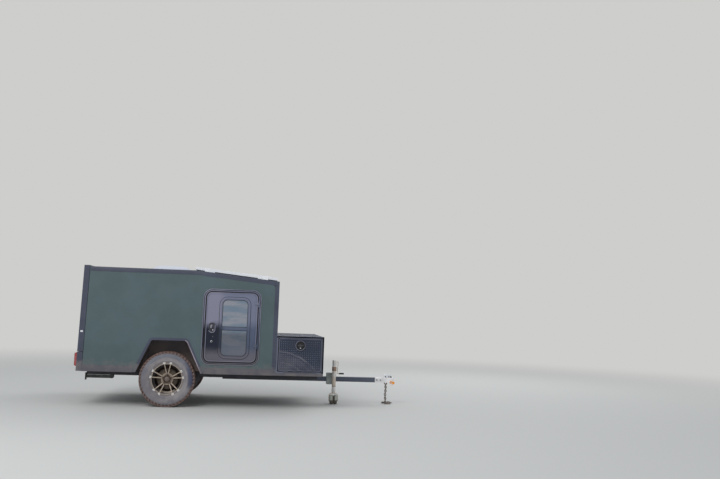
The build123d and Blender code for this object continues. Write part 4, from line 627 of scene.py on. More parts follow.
@dataclass(frozen=True)
class SpokedWheel(Finish):
    """Tan spokes on a wheel whose lip is grey with dust and whose barrel is darkened with painted shade.

    Attributes:
        spoke: Colour of the spokes.
        worn: Colour of their dusty patches.
        lip: Colour of the lip.
        lip_pale: Colour of the lip's paler patches.
        barrel: Colour of the painted shade inside the barrel.
        root: Colour of the painted shadow round the spokes' roots.
        roots: Radii between which the painted shadow ends.
        lip_start: Radii between which the lip sets in behind the spokes' face.
        lip_side: Distances from the trailer's middle where the spokes' face starts.
        rim_edge: Radii between which the outermost edge sets in.
        barrel_start: Radii between which the barrel's wall sets in.
        barrel_side: Distances from the trailer's middle where the barrel's painted shade ends.
    """

    name: str = "wheel_bronze"
    spoke: Colour = shade(196, 180, 160)
    worn: Colour = shade(172, 156, 146)
    lip: Colour = shade(118, 112, 112)
    lip_pale: Colour = shade(138, 130, 128)
    barrel: Colour = shade(46, 42, 42)
    root: Colour = shade(92, 72, 62)
    roots: Pair = (0.060, 0.082)
    lip_start: Pair = (0.172, 0.175)
    lip_side: Pair = (0.874, 0.880)
    rim_edge: Pair = (0.1885, 0.1905)
    barrel_start: Pair = (0.146, 0.154)
    barrel_side: Pair = (0.852, 0.864)

    def paint(self, made: Shading) -> None:
        """Paint the spokes, then the lip, the painted shadow round the roots and the barrel's painted shade
        over them.

        Args:
            made: The shading that takes the nodes.
        """
        far = made.reach(AXLE)
        across = made.work(Sum.SIZE, made.along("Y"))
        cloud = made.noise(14.0, 5.0, 0.6)
        grit = made.noise(380.0, 2.0)
        colour = made.over(made.between(cloud, 0.38, 0.66), self.spoke, self.worn)
        colour = made.over(made.between(grit, 0.55, 0.8, 0.0, 0.35), colour, self.lip)
        lip = made.times(made.between(far, *self.lip_start), made.between(across, *self.lip_side, 1.0, 0.0))
        lip = made.work(Sum.MOST, lip, made.between(far, *self.rim_edge))
        colour = made.over(lip, colour, made.over(cloud, self.lip, self.lip_pale))
        # Painted shadow: brown darkening round the spokes' roots.
        colour = made.over(made.between(far, *self.roots, 0.62, 0.0), colour, self.root)
        # Painted shade: the barrel darkens, less so at its bottom.
        deep = made.between(across, *self.barrel_side, 1.0, 0.0)
        inside = made.times(made.between(far, *self.barrel_start), deep)
        low = made.between(made.along(), 0.19, 0.22, 0.35, 1.0)
        colour = made.over(made.times(inside, low), colour, self.barrel)
        made.set(Base_Color=colour, Roughness=made.between(cloud, 0.3, 0.7, 0.42, 0.62), Metallic=0.15)
        made.relief(grit, 0.0002)


@dataclass(frozen=True)
class Lens(Finish):
    """A ribbed coloured lamp lens."""

    name: str = "lamp_red"
    colour: Colour = shade(168, 26, 30)
    dark: Colour = shade(126, 14, 18)

    def paint(self, made: Shading) -> None:
        """Band the lens with level ribs.

        Args:
            made: The shading that takes the nodes.
        """
        ribs = made.bands("Z", 40.0)
        made.set(Base_Color=made.over(ribs, self.colour, self.dark), Roughness=0.15, Coat_Weight=1.0)
        made.relief(ribs, 0.001)


FRAME_DUST = Dust(shade(112, 112, 120), full=0.2, clear=0.5, most=0.5, film=0.22)
WHEEL_DUST = Dust(shade(150, 138, 124), full=0.8, clear=0.9, most=0.35, film=0.2, specks=0.2)
LINER_DUST = Dust(shade(138, 122, 114), full=0.45, clear=0.85, most=0.55, film=0.2)
PANEL, PANEL_DARK = shade(79, 98, 103), shade(73, 91, 95)

FINISHES: dict[str, Finish] = {finish.name: finish for finish in (
    Coating("panel_green", PANEL, PANEL_DARK, rough=0.42, depth=0.0001,
            dust=Dust(full=0.47, clear=0.58, most=0.5, film=0.04, specks=0.7)),
    Coating("hatch_skin", PANEL, PANEL_DARK, rough=0.42, depth=0.0001,
            dust=Dust(full=0.5, clear=1.2, most=0.3, specks=0.3)),
    Coating("roof_skin", PANEL, PANEL_DARK, rough=0.5, depth=0.0001),
    Coating("trim_black", shade(69, 75, 94), shade(59, 64, 82), rough=0.38, grain=1400.0,
            dust=Dust(full=0.5, clear=0.56, most=0.75, film=0.06)),
    Coating("frame_paint", shade(68, 79, 98), shade(54, 63, 81), rough=0.45, dust=FRAME_DUST),
    Coating("liner_black", shade(88, 84, 90), shade(110, 100, 98), rough=0.92, grain=260.0, depth=0.0015,
            dust=LINER_DUST),
    Coating("floor_board", shade(60, 56, 54), shade(72, 66, 62), rough=0.8, dust=FRAME_DUST),
    WipedPlate("tread_plate", shade(46, 54, 74), shade(38, 46, 66)),
    # Painted highlight: the raised lozenges take a paler copy of the plate's paint, with the same dust.
    WipedPlate("lozenge_highlight_and_dust", shade(112, 120, 142), shade(86, 94, 118)),
    Coating("strap_pale", shade(190, 194, 184), shade(168, 170, 160), metal=0.05, rough=0.55, patches=30.0),
    Coating("shield_dusty", shade(58, 46, 42), shade(84, 68, 60), rough=0.85, patches=9.0),
    # Painted shade: a darker copy of the frame's paint for the parts under the body, with dust.
    Coating("rail_shade_and_dust", shade(34, 34, 40), shade(46, 44, 48), rough=0.6, dust=FRAME_DUST),
    Coating("stabiliser_grey", shade(70, 74, 74), shade(92, 94, 90), metal=0.3, rough=0.6, patches=14.0),
    Coating("bracket_zinc", shade(172, 180, 178), shade(142, 150, 148), metal=0.15, rough=0.5, patches=14.0),
    GlossPaint(),
    Coating("vent_white", shade(214, 218, 230), shade(204, 207, 216), rough=0.3, coat=0.3),
    Coating("solar_alu", shade(246, 248, 252), shade(234, 236, 243), rough=0.32),
    Coating("coupler_zinc", shade(250, 250, 252), shade(226, 225, 226), metal=0.05, rough=0.42, patches=12.0),
    Coating("latch_white", shade(246, 248, 250), shade(224, 226, 230), metal=0.05, rough=0.35, patches=12.0),
    Coating("chain_steel", shade(142, 134, 128), shade(108, 98, 92), metal=0.5, rough=0.5, patches=40.0),
    Coating("jack_zinc", shade(240, 232, 222), shade(216, 200, 182), metal=0.1, rough=0.45, patches=7.0,
            dust=Dust(full=0.05, clear=0.5, most=0.3, film=0.12)),
    Coating("caster_grey", shade(62, 58, 56), shade(84, 76, 70), rough=0.9, grain=300.0, depth=0.001,
            dust=WHEEL_DUST),
    SpokedWheel(),
    Coating("hub_iron", shade(74, 62, 54), shade(56, 46, 40), metal=0.4, rough=0.6, patches=20.0,
            dust=WHEEL_DUST),
    Plywood(),
    MirrorGlass(),
    SolarCells(),
    TyreRubber(),
    Lens(),
    # Painted highlight: a pale sheen colour for ridges and rims, with dust lower down.
    Coating("ridge_highlight_and_dust", shade(138, 138, 158), shade(104, 106, 128), rough=0.3, coat=0.4, patches=2.2,
            dust=Dust(full=0.60, clear=0.80, most=0.5)),
    # Painted highlight: a pale mauve for the turned-in front edge of the arch, with dust at its foot.
    Coating("arch_edge_highlight", shade(168, 158, 170), shade(132, 124, 134), rough=0.45, patches=6.0,
            dust=Dust(full=0.44, clear=0.52)),
    Coating("screw_dark", shade(58, 58, 66), shade(96, 96, 104), metal=0.6, rough=0.35),
    Coating("rubber_black", shade(30, 30, 33), shade(42, 41, 43), rough=0.75, grain=500.0),
    Coating("bright_chrome", shade(226, 228, 232), shade(206, 208, 214), metal=0.95, rough=0.14),
    Coating("gloss_black", shade(24, 26, 32), shade(32, 34, 42), rough=0.14, coat=1.0),
    Coating("plate_edge", shade(112, 116, 134), shade(94, 98, 116), metal=0.35, rough=0.34),
    Coating("bare_steel", shade(176, 174, 172), shade(142, 136, 130), metal=0.8, rough=0.32, patches=60.0),
    # Pale white: a painted highlight on the spokes' ends and the jack's bands; plain white on the clip's
    # hook.
    Coating("white_and_highlight", shade(236, 234, 232), shade(210, 206, 200), metal=0.2, rough=0.35, patches=40.0),
    Coating("clip_orange", shade(255, 164, 30), shade(244, 140, 16), rough=0.35, coat=0.4, patches=60.0),
    Coating("band_brown", shade(150, 122, 108), shade(172, 146, 130), metal=0.2, rough=0.55, patches=40.0),
    Coating("sealant_grey", shade(146, 148, 150), shade(122, 124, 126), rough=0.6, patches=9.0),
    Coating("cap_brown", shade(58, 42, 36), shade(74, 56, 48), metal=0.2, rough=0.45, patches=50.0),
    Coating("cap_centre", shade(126, 112, 106), shade(104, 92, 86), metal=0.2, rough=0.5, patches=50.0),
)}

NODE_FINISHES = {
    "jack_bracket": "bracket_zinc",
    # Painted shade: the rails, cross members and axle under the body take the darker copy of the frame's
    # paint.
    **dict.fromkeys(("frame_rails", "cross_members", "axle"), "rail_shade_and_dust"),
    **dict.fromkeys(("stabiliser_right", "stabiliser_left", "stabiliser_brackets"), "stabiliser_grey"),
}


@dataclass
class Wardrobe:
    """Materials by their finish's name, each built once."""

    made: dict[str, bpy.types.Material] = field(default_factory=dict)

    def get(self, name: str) -> bpy.types.Material:
        """Give the material of a finish.

        Args:
            name: Name of the finish.

        Returns:
            Its material.
        """
        if name not in self.made:
            self.made[name] = FINISHES[name].material()
        return self.made[name]

    def dress_nodes(self) -> None:
        """Give every carried-over node its finish."""
        for part in frame["record"]["subparts"]:
            node = frame["nodes"][part["node"]]
            finish = NODE_FINISHES.get(node.name, part["material_slot"])
            for holder in node.material_slots:
                holder.material = self.get(finish)
            LOG.info("dressed %s in %s", node.name, finish)


WARDROBE = Wardrobe()


def side_frame(side: int, out: float = 0.0) -> Matrix:
    """Frame on a side wall: local x along +X, y up and z outwards, out metres from the wall."""
    return Matrix(((1, 0, 0, 0), (0, 0, side, side * (HALF + out)), (0, 1, 0, 0), (0, 0, 0, 1)))


def frame_at(place: Sequence[float], out: Sequence[float], along: Sequence[float] = (1, 0, 0)) -> Matrix:
    """Frame at a place, its z towards out and its x as near to along as it can be.

    Args:
        place: Where the frame stands.
        out: Direction of its z.
        along: Direction that its x keeps to.

    Returns:
        The frame.
    """
    third = Vector(out).normalized()
    first = (Vector(along) - Vector(along).dot(third) * third).normalized()
    turn = Matrix((first, third.cross(first), third)).transposed().to_4x4()
    return Matrix.Translation(place) @ turn


def rectangle(length: float, height: float, middle: Pair = (0.0, 0.0)) -> list[Pair]:
    """Corners of a rectangle, anticlockwise from its lower left."""
    x, y = middle
    return [(x + a * length / 2, y + b * height / 2) for a, b in ((-1, -1), (1, -1), (1, 1), (-1, 1))]


def rounded(corners: Section, radius: float, steps: int = 5, ends: bool = False) -> list[Pair]:
    """Round the corners of an outline.

    Args:
        corners: The outline's corners in order.
        radius: Radius of every corner.
        steps: Spans in each rounded corner.
        ends: Whether the outline is open, so that its two ends stay.

    Returns:
        The points of the rounded outline.
    """
    made = []
    for index, corner in enumerate(corners):
        if ends and index in (0, len(corners) - 1):
            made.append(tuple(corner))
            continue
        here = Vector(corner)
        back = (Vector(corners[index - 1]) - here).normalized()
        ahead = (Vector(corners[(index + 1) % len(corners)]) - here).normalized()
        half = back.angle(ahead) / 2
        middle = here + (back + ahead).normalized() * radius / sin(half)
        start = here + back * radius / tan(half) - middle
        end = here + ahead * radius / tan(half) - middle
        bend = pi - 2 * half
        for step in range(steps + 1):
            share = step / steps
            spoke = (sin((1 - share) * bend) * start + sin(share * bend) * end) / sin(bend)
            made.append(tuple(middle + spoke))
    return made


def on_surface(node: str, start: Sequence[float], way: Sequence[float]) -> Vector:
    """Find where a line from start first meets a node.

    Args:
        node: The node.
        start: Where the line starts.
        way: Its direction.

    Returns:
        The place on the node, or start where the line misses it.
    """
    met, place, _, _ = frame["nodes"][node].ray_cast(Vector(start), Vector(way))
    return place if met else Vector(start)


@dataclass
class Form:
    """Points and faces of one piece while it is put together."""

    points: list[Vector] = field(default_factory=list)
    faces: list[tuple[int, ...]] = field(default_factory=list)

    def add(self, points: Iterable[Sequence[float]], faces: Iterable[Sequence[int]], basis: Matrix) -> None:
        """Take over points, moved into a frame, and the faces between them.

        Args:
            points: The points, in the frame.
            faces: Each face's places in that list.
            basis: The frame.
        """
        first = len(self.points)
        self.points += [basis @ Vector(point) for point in points]
        self.faces += [tuple(first + index for index in face) for face in faces]

    def rings(self, rings: Sequence[Sequence[Sequence[float]]], basis: Matrix = Matrix.Identity(4),
              closed: bool = False) -> Form:
        """Join rings of as many points each, and close both ends or the last ring to the first.

        Args:
            rings: The rings, each a closed loop of points.
            basis: Frame that the points are in.
            closed: Whether the last ring joins the first.

        Returns:
            The form itself, as with each of the shapes below.
        """
        count = len(rings[0])
        faces = []
        for index in range(len(rings) if closed else len(rings) - 1):
            here, there = index * count, (index + 1) % len(rings) * count
            faces += [(here + k, here + (k + 1) % count, there + (k + 1) % count, there + k)
                      for k in range(count)]
        if not closed:
            faces += [tuple(range(count)), tuple(range((len(rings) - 1) * count, len(rings) * count))]
        self.add([point for ring in rings for point in ring], faces, basis)
        return self

    def prism(self, outline: Section, low: float, high: float, basis: Matrix, taper: float = 0.0) -> Form:
        """Raise an outline from low to high.

        Args:
            outline: Points of the outline.
            low: Height of its lower face in the frame.
            high: Height of its upper face.
            basis: Frame that the outline lies in.
            taper: Share by which the upper face is smaller.

        Returns:
            The form itself.
        """
        middle = [sum(point[axis] for point in outline) / len(outline) for axis in (0, 1)]
        upper = [[middle[axis] + (point[axis] - middle[axis]) * (1 - taper) for axis in (0, 1)]
                 for point in outline]
        return self.rings([[(*point, low) for point in outline], [(*point, high) for point in upper]], basis)

    def strip(self, path: Section, profile: Section, basis: Matrix, closed: bool = False) -> Form:
        """Run a section along a flat path, with mitred corners.

        Args:
            path: Points of the path in the frame's plane.
            profile: Closed section, as (to the left of the path, out of the plane).
            basis: Frame that the path lies in.
            closed: Whether the path closes on itself.

        Returns:
            The form itself.
        """
        rings = []
        for index, here in enumerate(path):
            last = None if index == 0 and not closed else path[index - 1]
            after = None if index == len(path) - 1 and not closed else path[(index + 1) % len(path)]
            ways = [(Vector(end) - Vector(start)).normalized()
                    for start, end in ((last, here), (here, after)) if start and end]
            lefts = [Vector((-way.y, way.x)) for way in ways]
            mitre = sum(lefts, Vector((0, 0))).normalized()
            mitre /= mitre.dot(lefts[0])
            rings.append([(here[0] + mitre.x * across, here[1] + mitre.y * across, out)
                          for across, out in profile])
        return self.rings(rings, basis, closed)

    def tube(self, path: Sequence[Sequence[float]], radius: float, sides: int = 10,
             closed: bool = False) -> Form:
        """Run a round rod along a path in space.

        Args:
            path: Points of the path.
            radius: Radius of the rod.
            sides: Faces round it.
            closed: Whether the path closes on itself.

        Returns:
            The form itself.
        """
        spots = [Vector(point) for point in path]
        count = len(spots)
        guide = None
        rings = []
        for index, here in enumerate(spots):
            before = spots[index - 1] if closed or index else here
            after = spots[(index + 1) % count] if closed or index < count - 1 else here
            way = (after - before).normalized()
            guide = (guide - guide.dot(way) * way).normalized() if guide else way.orthogonal().normalized()
            other = way.cross(guide)
            rings.append([here + radius * (cos(turn) * guide + sin(turn) * other)
                          for turn in (2 * pi * side / sides for side in range(sides))])
        return self.rings(rings, closed=closed)

    def lathe(self, profile: Section, basis: Matrix, steps: int = 32, closed: bool = False) -> Form:
        """Turn a section round a frame's z.

        Args:
            profile: Points as (radius, height), from end to end.
            basis: Frame whose z is the axis.
            steps: Faces round the axis.
            closed: Whether the section is a closed loop, as for a ring.

        Returns:
            The form itself.
        """
        turns = [2 * pi * step / steps for step in range(steps)]
        loops = [[(radius * cos(turn), radius * sin(turn), height) for turn in turns]
                 for radius, height in profile]
        return self.rings(loops, basis, closed)

    def piece(self, name: str, body: str, slot: str, finish: str = "", bevel: float = 0.0,
              spread: float = 32.0) -> bpy.types.Object:
        """Make the piece, shade and dress it, and hang it on a body.

        Args:
            name: Name of the piece.
            body: Body that it rides on.
            slot: Material slot of the record that it goes with.
            finish: Finish to wear in place of the slot's own.
            bevel: Width of its bevelled edges.
            spread: Angle in degrees above which an edge shows.

        Returns:
            The new object.
        """
        mesh = bpy.data.meshes.new(name)
        mesh.from_pydata([tuple(point) for point in self.points], [], self.faces)
        work = bmesh.new()
        work.from_mesh(mesh)
        bmesh.ops.recalc_face_normals(work, faces=work.faces)
        work.to_mesh(mesh)
        work.free()
        mesh.shade_smooth()
        mesh.set_sharp_from_angle(angle=radians(spread))
        mesh.materials.append(WARDROBE.get(finish or slot))
        made = bpy.data.objects.new(name, mesh)
        bpy.context.scene.collection.objects.link(made)
        if bevel:
            edge = made.modifiers.new("bevel", "BEVEL")
            edge.width = bevel
            edge.segments = 2
            edge.limit_method = "ANGLE"
            edge.angle_limit = radians(spread)
        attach(made, body)
        LOG.info("built %s on %s", name, body)
        return made


def screw(form: Form, basis: Matrix, radius: float = 0.0045, height: float = 0.0022) -> None:
    """Set a round screw head with a sunk drive on a frame's origin."""
    form.lathe([(radius, -0.0005), (radius, height * 0.3), (radius * 0.82, height * 0.8),
                (radius * 0.5, height), (radius * 0.36, height), (radius * 0.3, height * 0.45)], basis, 10)


def angle(width: float, reach: float, sheet: float = SHEET, corner: float = 0.003,
          lift: float = LIFT) -> list[Pair]:
    """Section of an angle whose outer corner runs along the path.

    Args:
        width: Its width inwards from the path.
        reach: How far its other side turns in.
        sheet: Thickness of its sheet.
        corner: Rounding of its outer corner.
        lift: Gap between the angle and the faces it lies on.

    Returns:
        The closed section, for Form.strip.
    """
    outer = rounded([(-width, sheet), (sheet, sheet), (sheet, -reach)], corner, 3, ends=True)
    return [(-width, lift), *outer, (lift, -reach), (lift, lift)]


def grown(middle: Pair, size: Pair, corner: float, grow: float) -> list[Pair]:
    """Outline of a rounded rectangle, grown all round."""
    return rounded(rectangle(size[0] + 2 * grow, size[1] + 2 * grow, middle), corner + grow, 8)


def flat_bar(bottom: float, top: float, start: float, end: float) -> list[Pair]:
    """Section of a flat bar, from start to end beside the path and from bottom to top."""
    return [(start, bottom), (start, top), (end, top), (end, bottom)]


def turns(start: float, step: float, count: int) -> list[float]:
    """Angles in radians, from a start and a step in degrees."""
    return [radians(start + step * index) for index in range(count)]


def spaced(start: float, end: float, pitch: float) -> list[float]:
    """Places from start to end, both taken in, as near to pitch apart as they can be evenly."""
    count = max(1, round(abs(end - start) / pitch))
    return [start + (end - start) * step / count for step in range(count + 1)]


@dataclass
class EdgeTrims:
    """Black angles along the edges of the side walls, with their screws and the lips of the arches.

    Attributes:
        corners: Corners of a wall's edge, as (x, z), over the roof and down the front.
        top: Width on the side wall along the roof and down the front.
        bottom: Width along the lower edge.
        over: Reach over the roof and round the front.
        under: Reach under the side wall.
        foot: Middle of the wheel arch's foot from the axle, and its length.
        head: The same for the arch's upper edge.
        arch: Width of the lip round the wheel arch.
        arch_corner: Rounding of the arch's upper corners.
        arch_steps: Spans in each of them.
        arch_reach: How far the arch's lip turns in.
        worn: Section of the bare edge on the arch's front, from its reach on.
        rear_corner: Width of the rear corner's own trim.
        gusset: Reach of the curved plate in the upper front corner.
        pitch: From screw to screw on the upright trims.
        long_pitch: From screw to screw along the roof.
    """

    corners: Section = ((HATCH_HIGH.x, ROOF_TOP), (BEND_X, ROOF_TOP), (FRONT_X, ROOF_FRONT),
                        (FRONT_X, BODY_BOTTOM))
    top: float = 0.052
    bottom: float = 0.075
    over: float = 0.048
    under: float = 0.036
    foot: Pair = (0.015, 0.803)
    head: Pair = (0.006, 0.434)
    arch: float = 0.030
    arch_corner: float = 0.045
    arch_steps: int = 8
    arch_reach: float = 0.030
    # worn: Section of the pale edge of painted highlight on the arch's front, from its reach on.
    worn: Section = ((-0.0044, -0.018), (-0.0044, 0.0056), (-0.0030, 0.0066), (0.0060, 0.0062),
                     (0.0066, 0.0046), (-0.0027, 0.0046), (-0.0027, -0.018))
    rear_corner: float = 0.066
    gusset: float = 0.034
    pitch: float = 0.150
    long_pitch: float = 0.300

    def build(self) -> None:
        """Build the trims of both sides."""
        for side, hand in SIDES:
            flat = side_frame(side)
            edge = Form().strip(self.corners, angle(self.top, self.over), flat)
            edge.piece(f"roof_edge_trim_{hand}", "chassis", "trim_black")
            self.gusset_plate(flat, hand)
            self.lower_trims(flat, hand)
            self.arch_lip(flat, hand)
            self.screws(side, hand)

    def gusset_plate(self, flat: Matrix, hand: str) -> None:
        """Fill the upper front corner of the trim with a curved plate.

        Args:
            flat: Frame of that side's flat face.
            hand: The side's name, right or left.
        """
        corner = Vector(self.corners[2])
        back = (Vector(self.corners[1]) - corner).normalized()
        down = Vector((0, -1))
        inner = corner + (back + down) * self.top
        arc = [inner + self.gusset * (back * (1 - sin(turn)) + down * (1 - cos(turn)))
               for turn in turns(0, 15, 7)]
        outline = [tuple(point) for point in (inner - (back + down) * 0.004, *arc)]
        Form().prism(outline, 0.0004, SHEET, flat).piece(f"corner_gusset_{hand}", "chassis", "trim_black")

    def lower_trims(self, flat: Matrix, hand: str) -> None:
        """Run the lower angle from the rear to the arch and from the arch to the front.

        Args:
            flat: Frame of that side's flat face.
            hand: The side's name, right or left.
        """
        rear, *_, front = self.arch_points()
        form = Form()
        for start, end in ((rear[0] - self.arch, REAR_LOW.x + self.rear_corner),
                           (FRONT_X - self.top, front[0] + self.arch)):
            form.strip([(start, BODY_BOTTOM), (end, BODY_BOTTOM)], angle(self.bottom, self.under), flat)
        form.piece(f"lower_edge_trim_{hand}", "chassis", "trim_black")

    def arch_points(self) -> list[Pair]:
        """Corners of the wheel arch from its rear foot round to its front foot.

        Returns:
            The corners, as (x, z).
        """
        return [(AXLE_X + shift + end * length / 2, level)
                for (shift, length), end, level in ((self.foot, -1, BODY_BOTTOM), (self.head, -1, ARCH_TOP),
                                                    (self.head, 1, ARCH_TOP), (self.foot, 1, BODY_BOTTOM))]

    def arch_lip(self, flat: Matrix, hand: str) -> None:
        """Run a lip round the wheel arch that turns in through the wall, its front edge pale with painted
        highlight.

        Args:
            flat: Frame of that side's flat face.
            hand: The side's name, right or left.
        """
        path = rounded(self.arch_points(), self.arch_corner, self.arch_steps, ends=True)
        crest = rounded([(-SHEET, 0.0), (-SHEET, 0.0052), (self.arch, 0.0032)], 0.002, 3, ends=True)[1:]
        section = [(-SHEET, -self.arch_reach), (-SHEET, SHEET), *crest, (self.arch, LIFT), (-LIFT, LIFT),
                   (-LIFT, -self.arch_reach)]
        Form().strip(path, section, flat).piece(f"arch_lip_{hand}", "chassis", "trim_black")
        # Painted highlight: the turned-in front edge of the arch is pale.
        edge = Form().strip(path[-(self.arch_steps + 1):], self.worn, flat)
        edge.piece(f"arch_edge_highlight_{hand}", "chassis", "trim_black", "arch_edge_highlight")

    def screws(self, side: int, hand: str) -> None:
        """Set the screws along the trims.

        Args:
            side: -1 for the right and 1 for the left.
            hand: The side's name, right or left.
        """
        form = Form()
        spots = []
        for start, end, pitch in zip(self.corners, self.corners[1:],
                                     (self.long_pitch, self.long_pitch, self.pitch)):
            reach = (Vector(end) - Vector(start)).length
            way = (Vector(end) - Vector(start)) / reach
            middle = Vector(start) + Vector((way.y, -way.x)) * self.top * 0.5
            spots += [middle + way * step for step in spaced(self.top, reach - self.top, pitch)]
        for start, end in ((REAR_HIGH.x, AXLE_X - self.foot[1] / 2 - 0.06),
                           (AXLE_X + self.foot[1] / 2 + 0.08, FRONT_X - 0.03)):
            spots += [Vector((x, BODY_BOTTOM + self.bottom * 0.5))
                      for x in spaced(start, end, self.long_pitch)]
        for spot in spots:
            screw(form, frame_at((spot.x, side * (HALF + SHEET), spot.y), (0, side, 0)))
        form.piece(f"trim_screws_{hand}", "chassis", "trim_black", "screw_dark")


@dataclass
class HatchTrims:
    """Black angles round the hatch and down the rear corners, with their screws.

    Attributes:
        side: Width on the hatch's side edge.
        face: Width on the hatch's rear face.
        pitch: From screw to screw on the upright angles.
        wide_pitch: From screw to screw on the level ones.
        rake: Lean of the rear face, as a direction out of it.
    """

    side: float = 0.066
    face: float = 0.045
    pitch: float = 0.150
    wide_pitch: float = 0.2
    rake: Triple = (-1, 0, 0.016)

    def edge(self, z: float) -> float:
        """X of the raked rear face at a height."""
        return REAR_LOW.x + REAR_RAKE * (z - BODY_BOTTOM)

    def build(self) -> None:
        """Build the angles on the hatch and on the rear corners under it."""
        for side, hand in SIDES:
            for name, body, low, high in (("hatch_edge_trim", "hatch", HATCH_LOW.z, HATCH_HIGH.z),
                                          ("rear_corner_trim", "chassis", BODY_BOTTOM, REAR_HIGH.z)):
                path = [(self.edge(low), low), (self.edge(high), high)]
                form = Form().strip(path, angle(self.side, self.face), side_frame(side))
                form.piece(f"{name}_{hand}", body, "trim_black")
                heads = Form()
                for z in spaced(low + 0.04, high - 0.04, self.pitch):
                    x = self.edge(z)
                    screw(heads, frame_at((x + self.side / 2, side * (HALF + SHEET), z), (0, side, 0)))
                    screw(heads, frame_at((x - SHEET, side * (HALF - self.face / 2), z), (-1, 0, 0)))
                heads.piece(f"{name}_screws_{hand}", body, "trim_black", "screw_dark")
        self.cross_trims()

    def cross_trims(self) -> None:
        """Run the angles across the hatch's upper edge and the lower edge of the rear."""
        width = 2 * (HALF - self.face)
        for name, body, z, height in (("hatch_top_trim", "hatch", HATCH_HIGH.z - 0.0225, 0.045),
                                      ("hatch_foot_trim", "hatch", HATCH_LOW.z + 0.02, 0.04),
                                      ("rear_foot_trim", "chassis", BODY_BOTTOM + 0.03, 0.06)):
            flat = frame_at((self.edge(z), 0, z), self.rake, (0, 1, 0))
            form = Form().prism(rectangle(width, height), LIFT, SHEET, flat)
            form.piece(name, body, "trim_black", bevel=0.001)
            heads = Form()
            for y in spaced(-width / 2 + 0.05, width / 2 - 0.05, self.wide_pitch):
                screw(heads, frame_at((self.edge(z) - SHEET, y, z), self.rake))
            heads.piece(f"{name}_screws", body, "trim_black", "screw_dark")


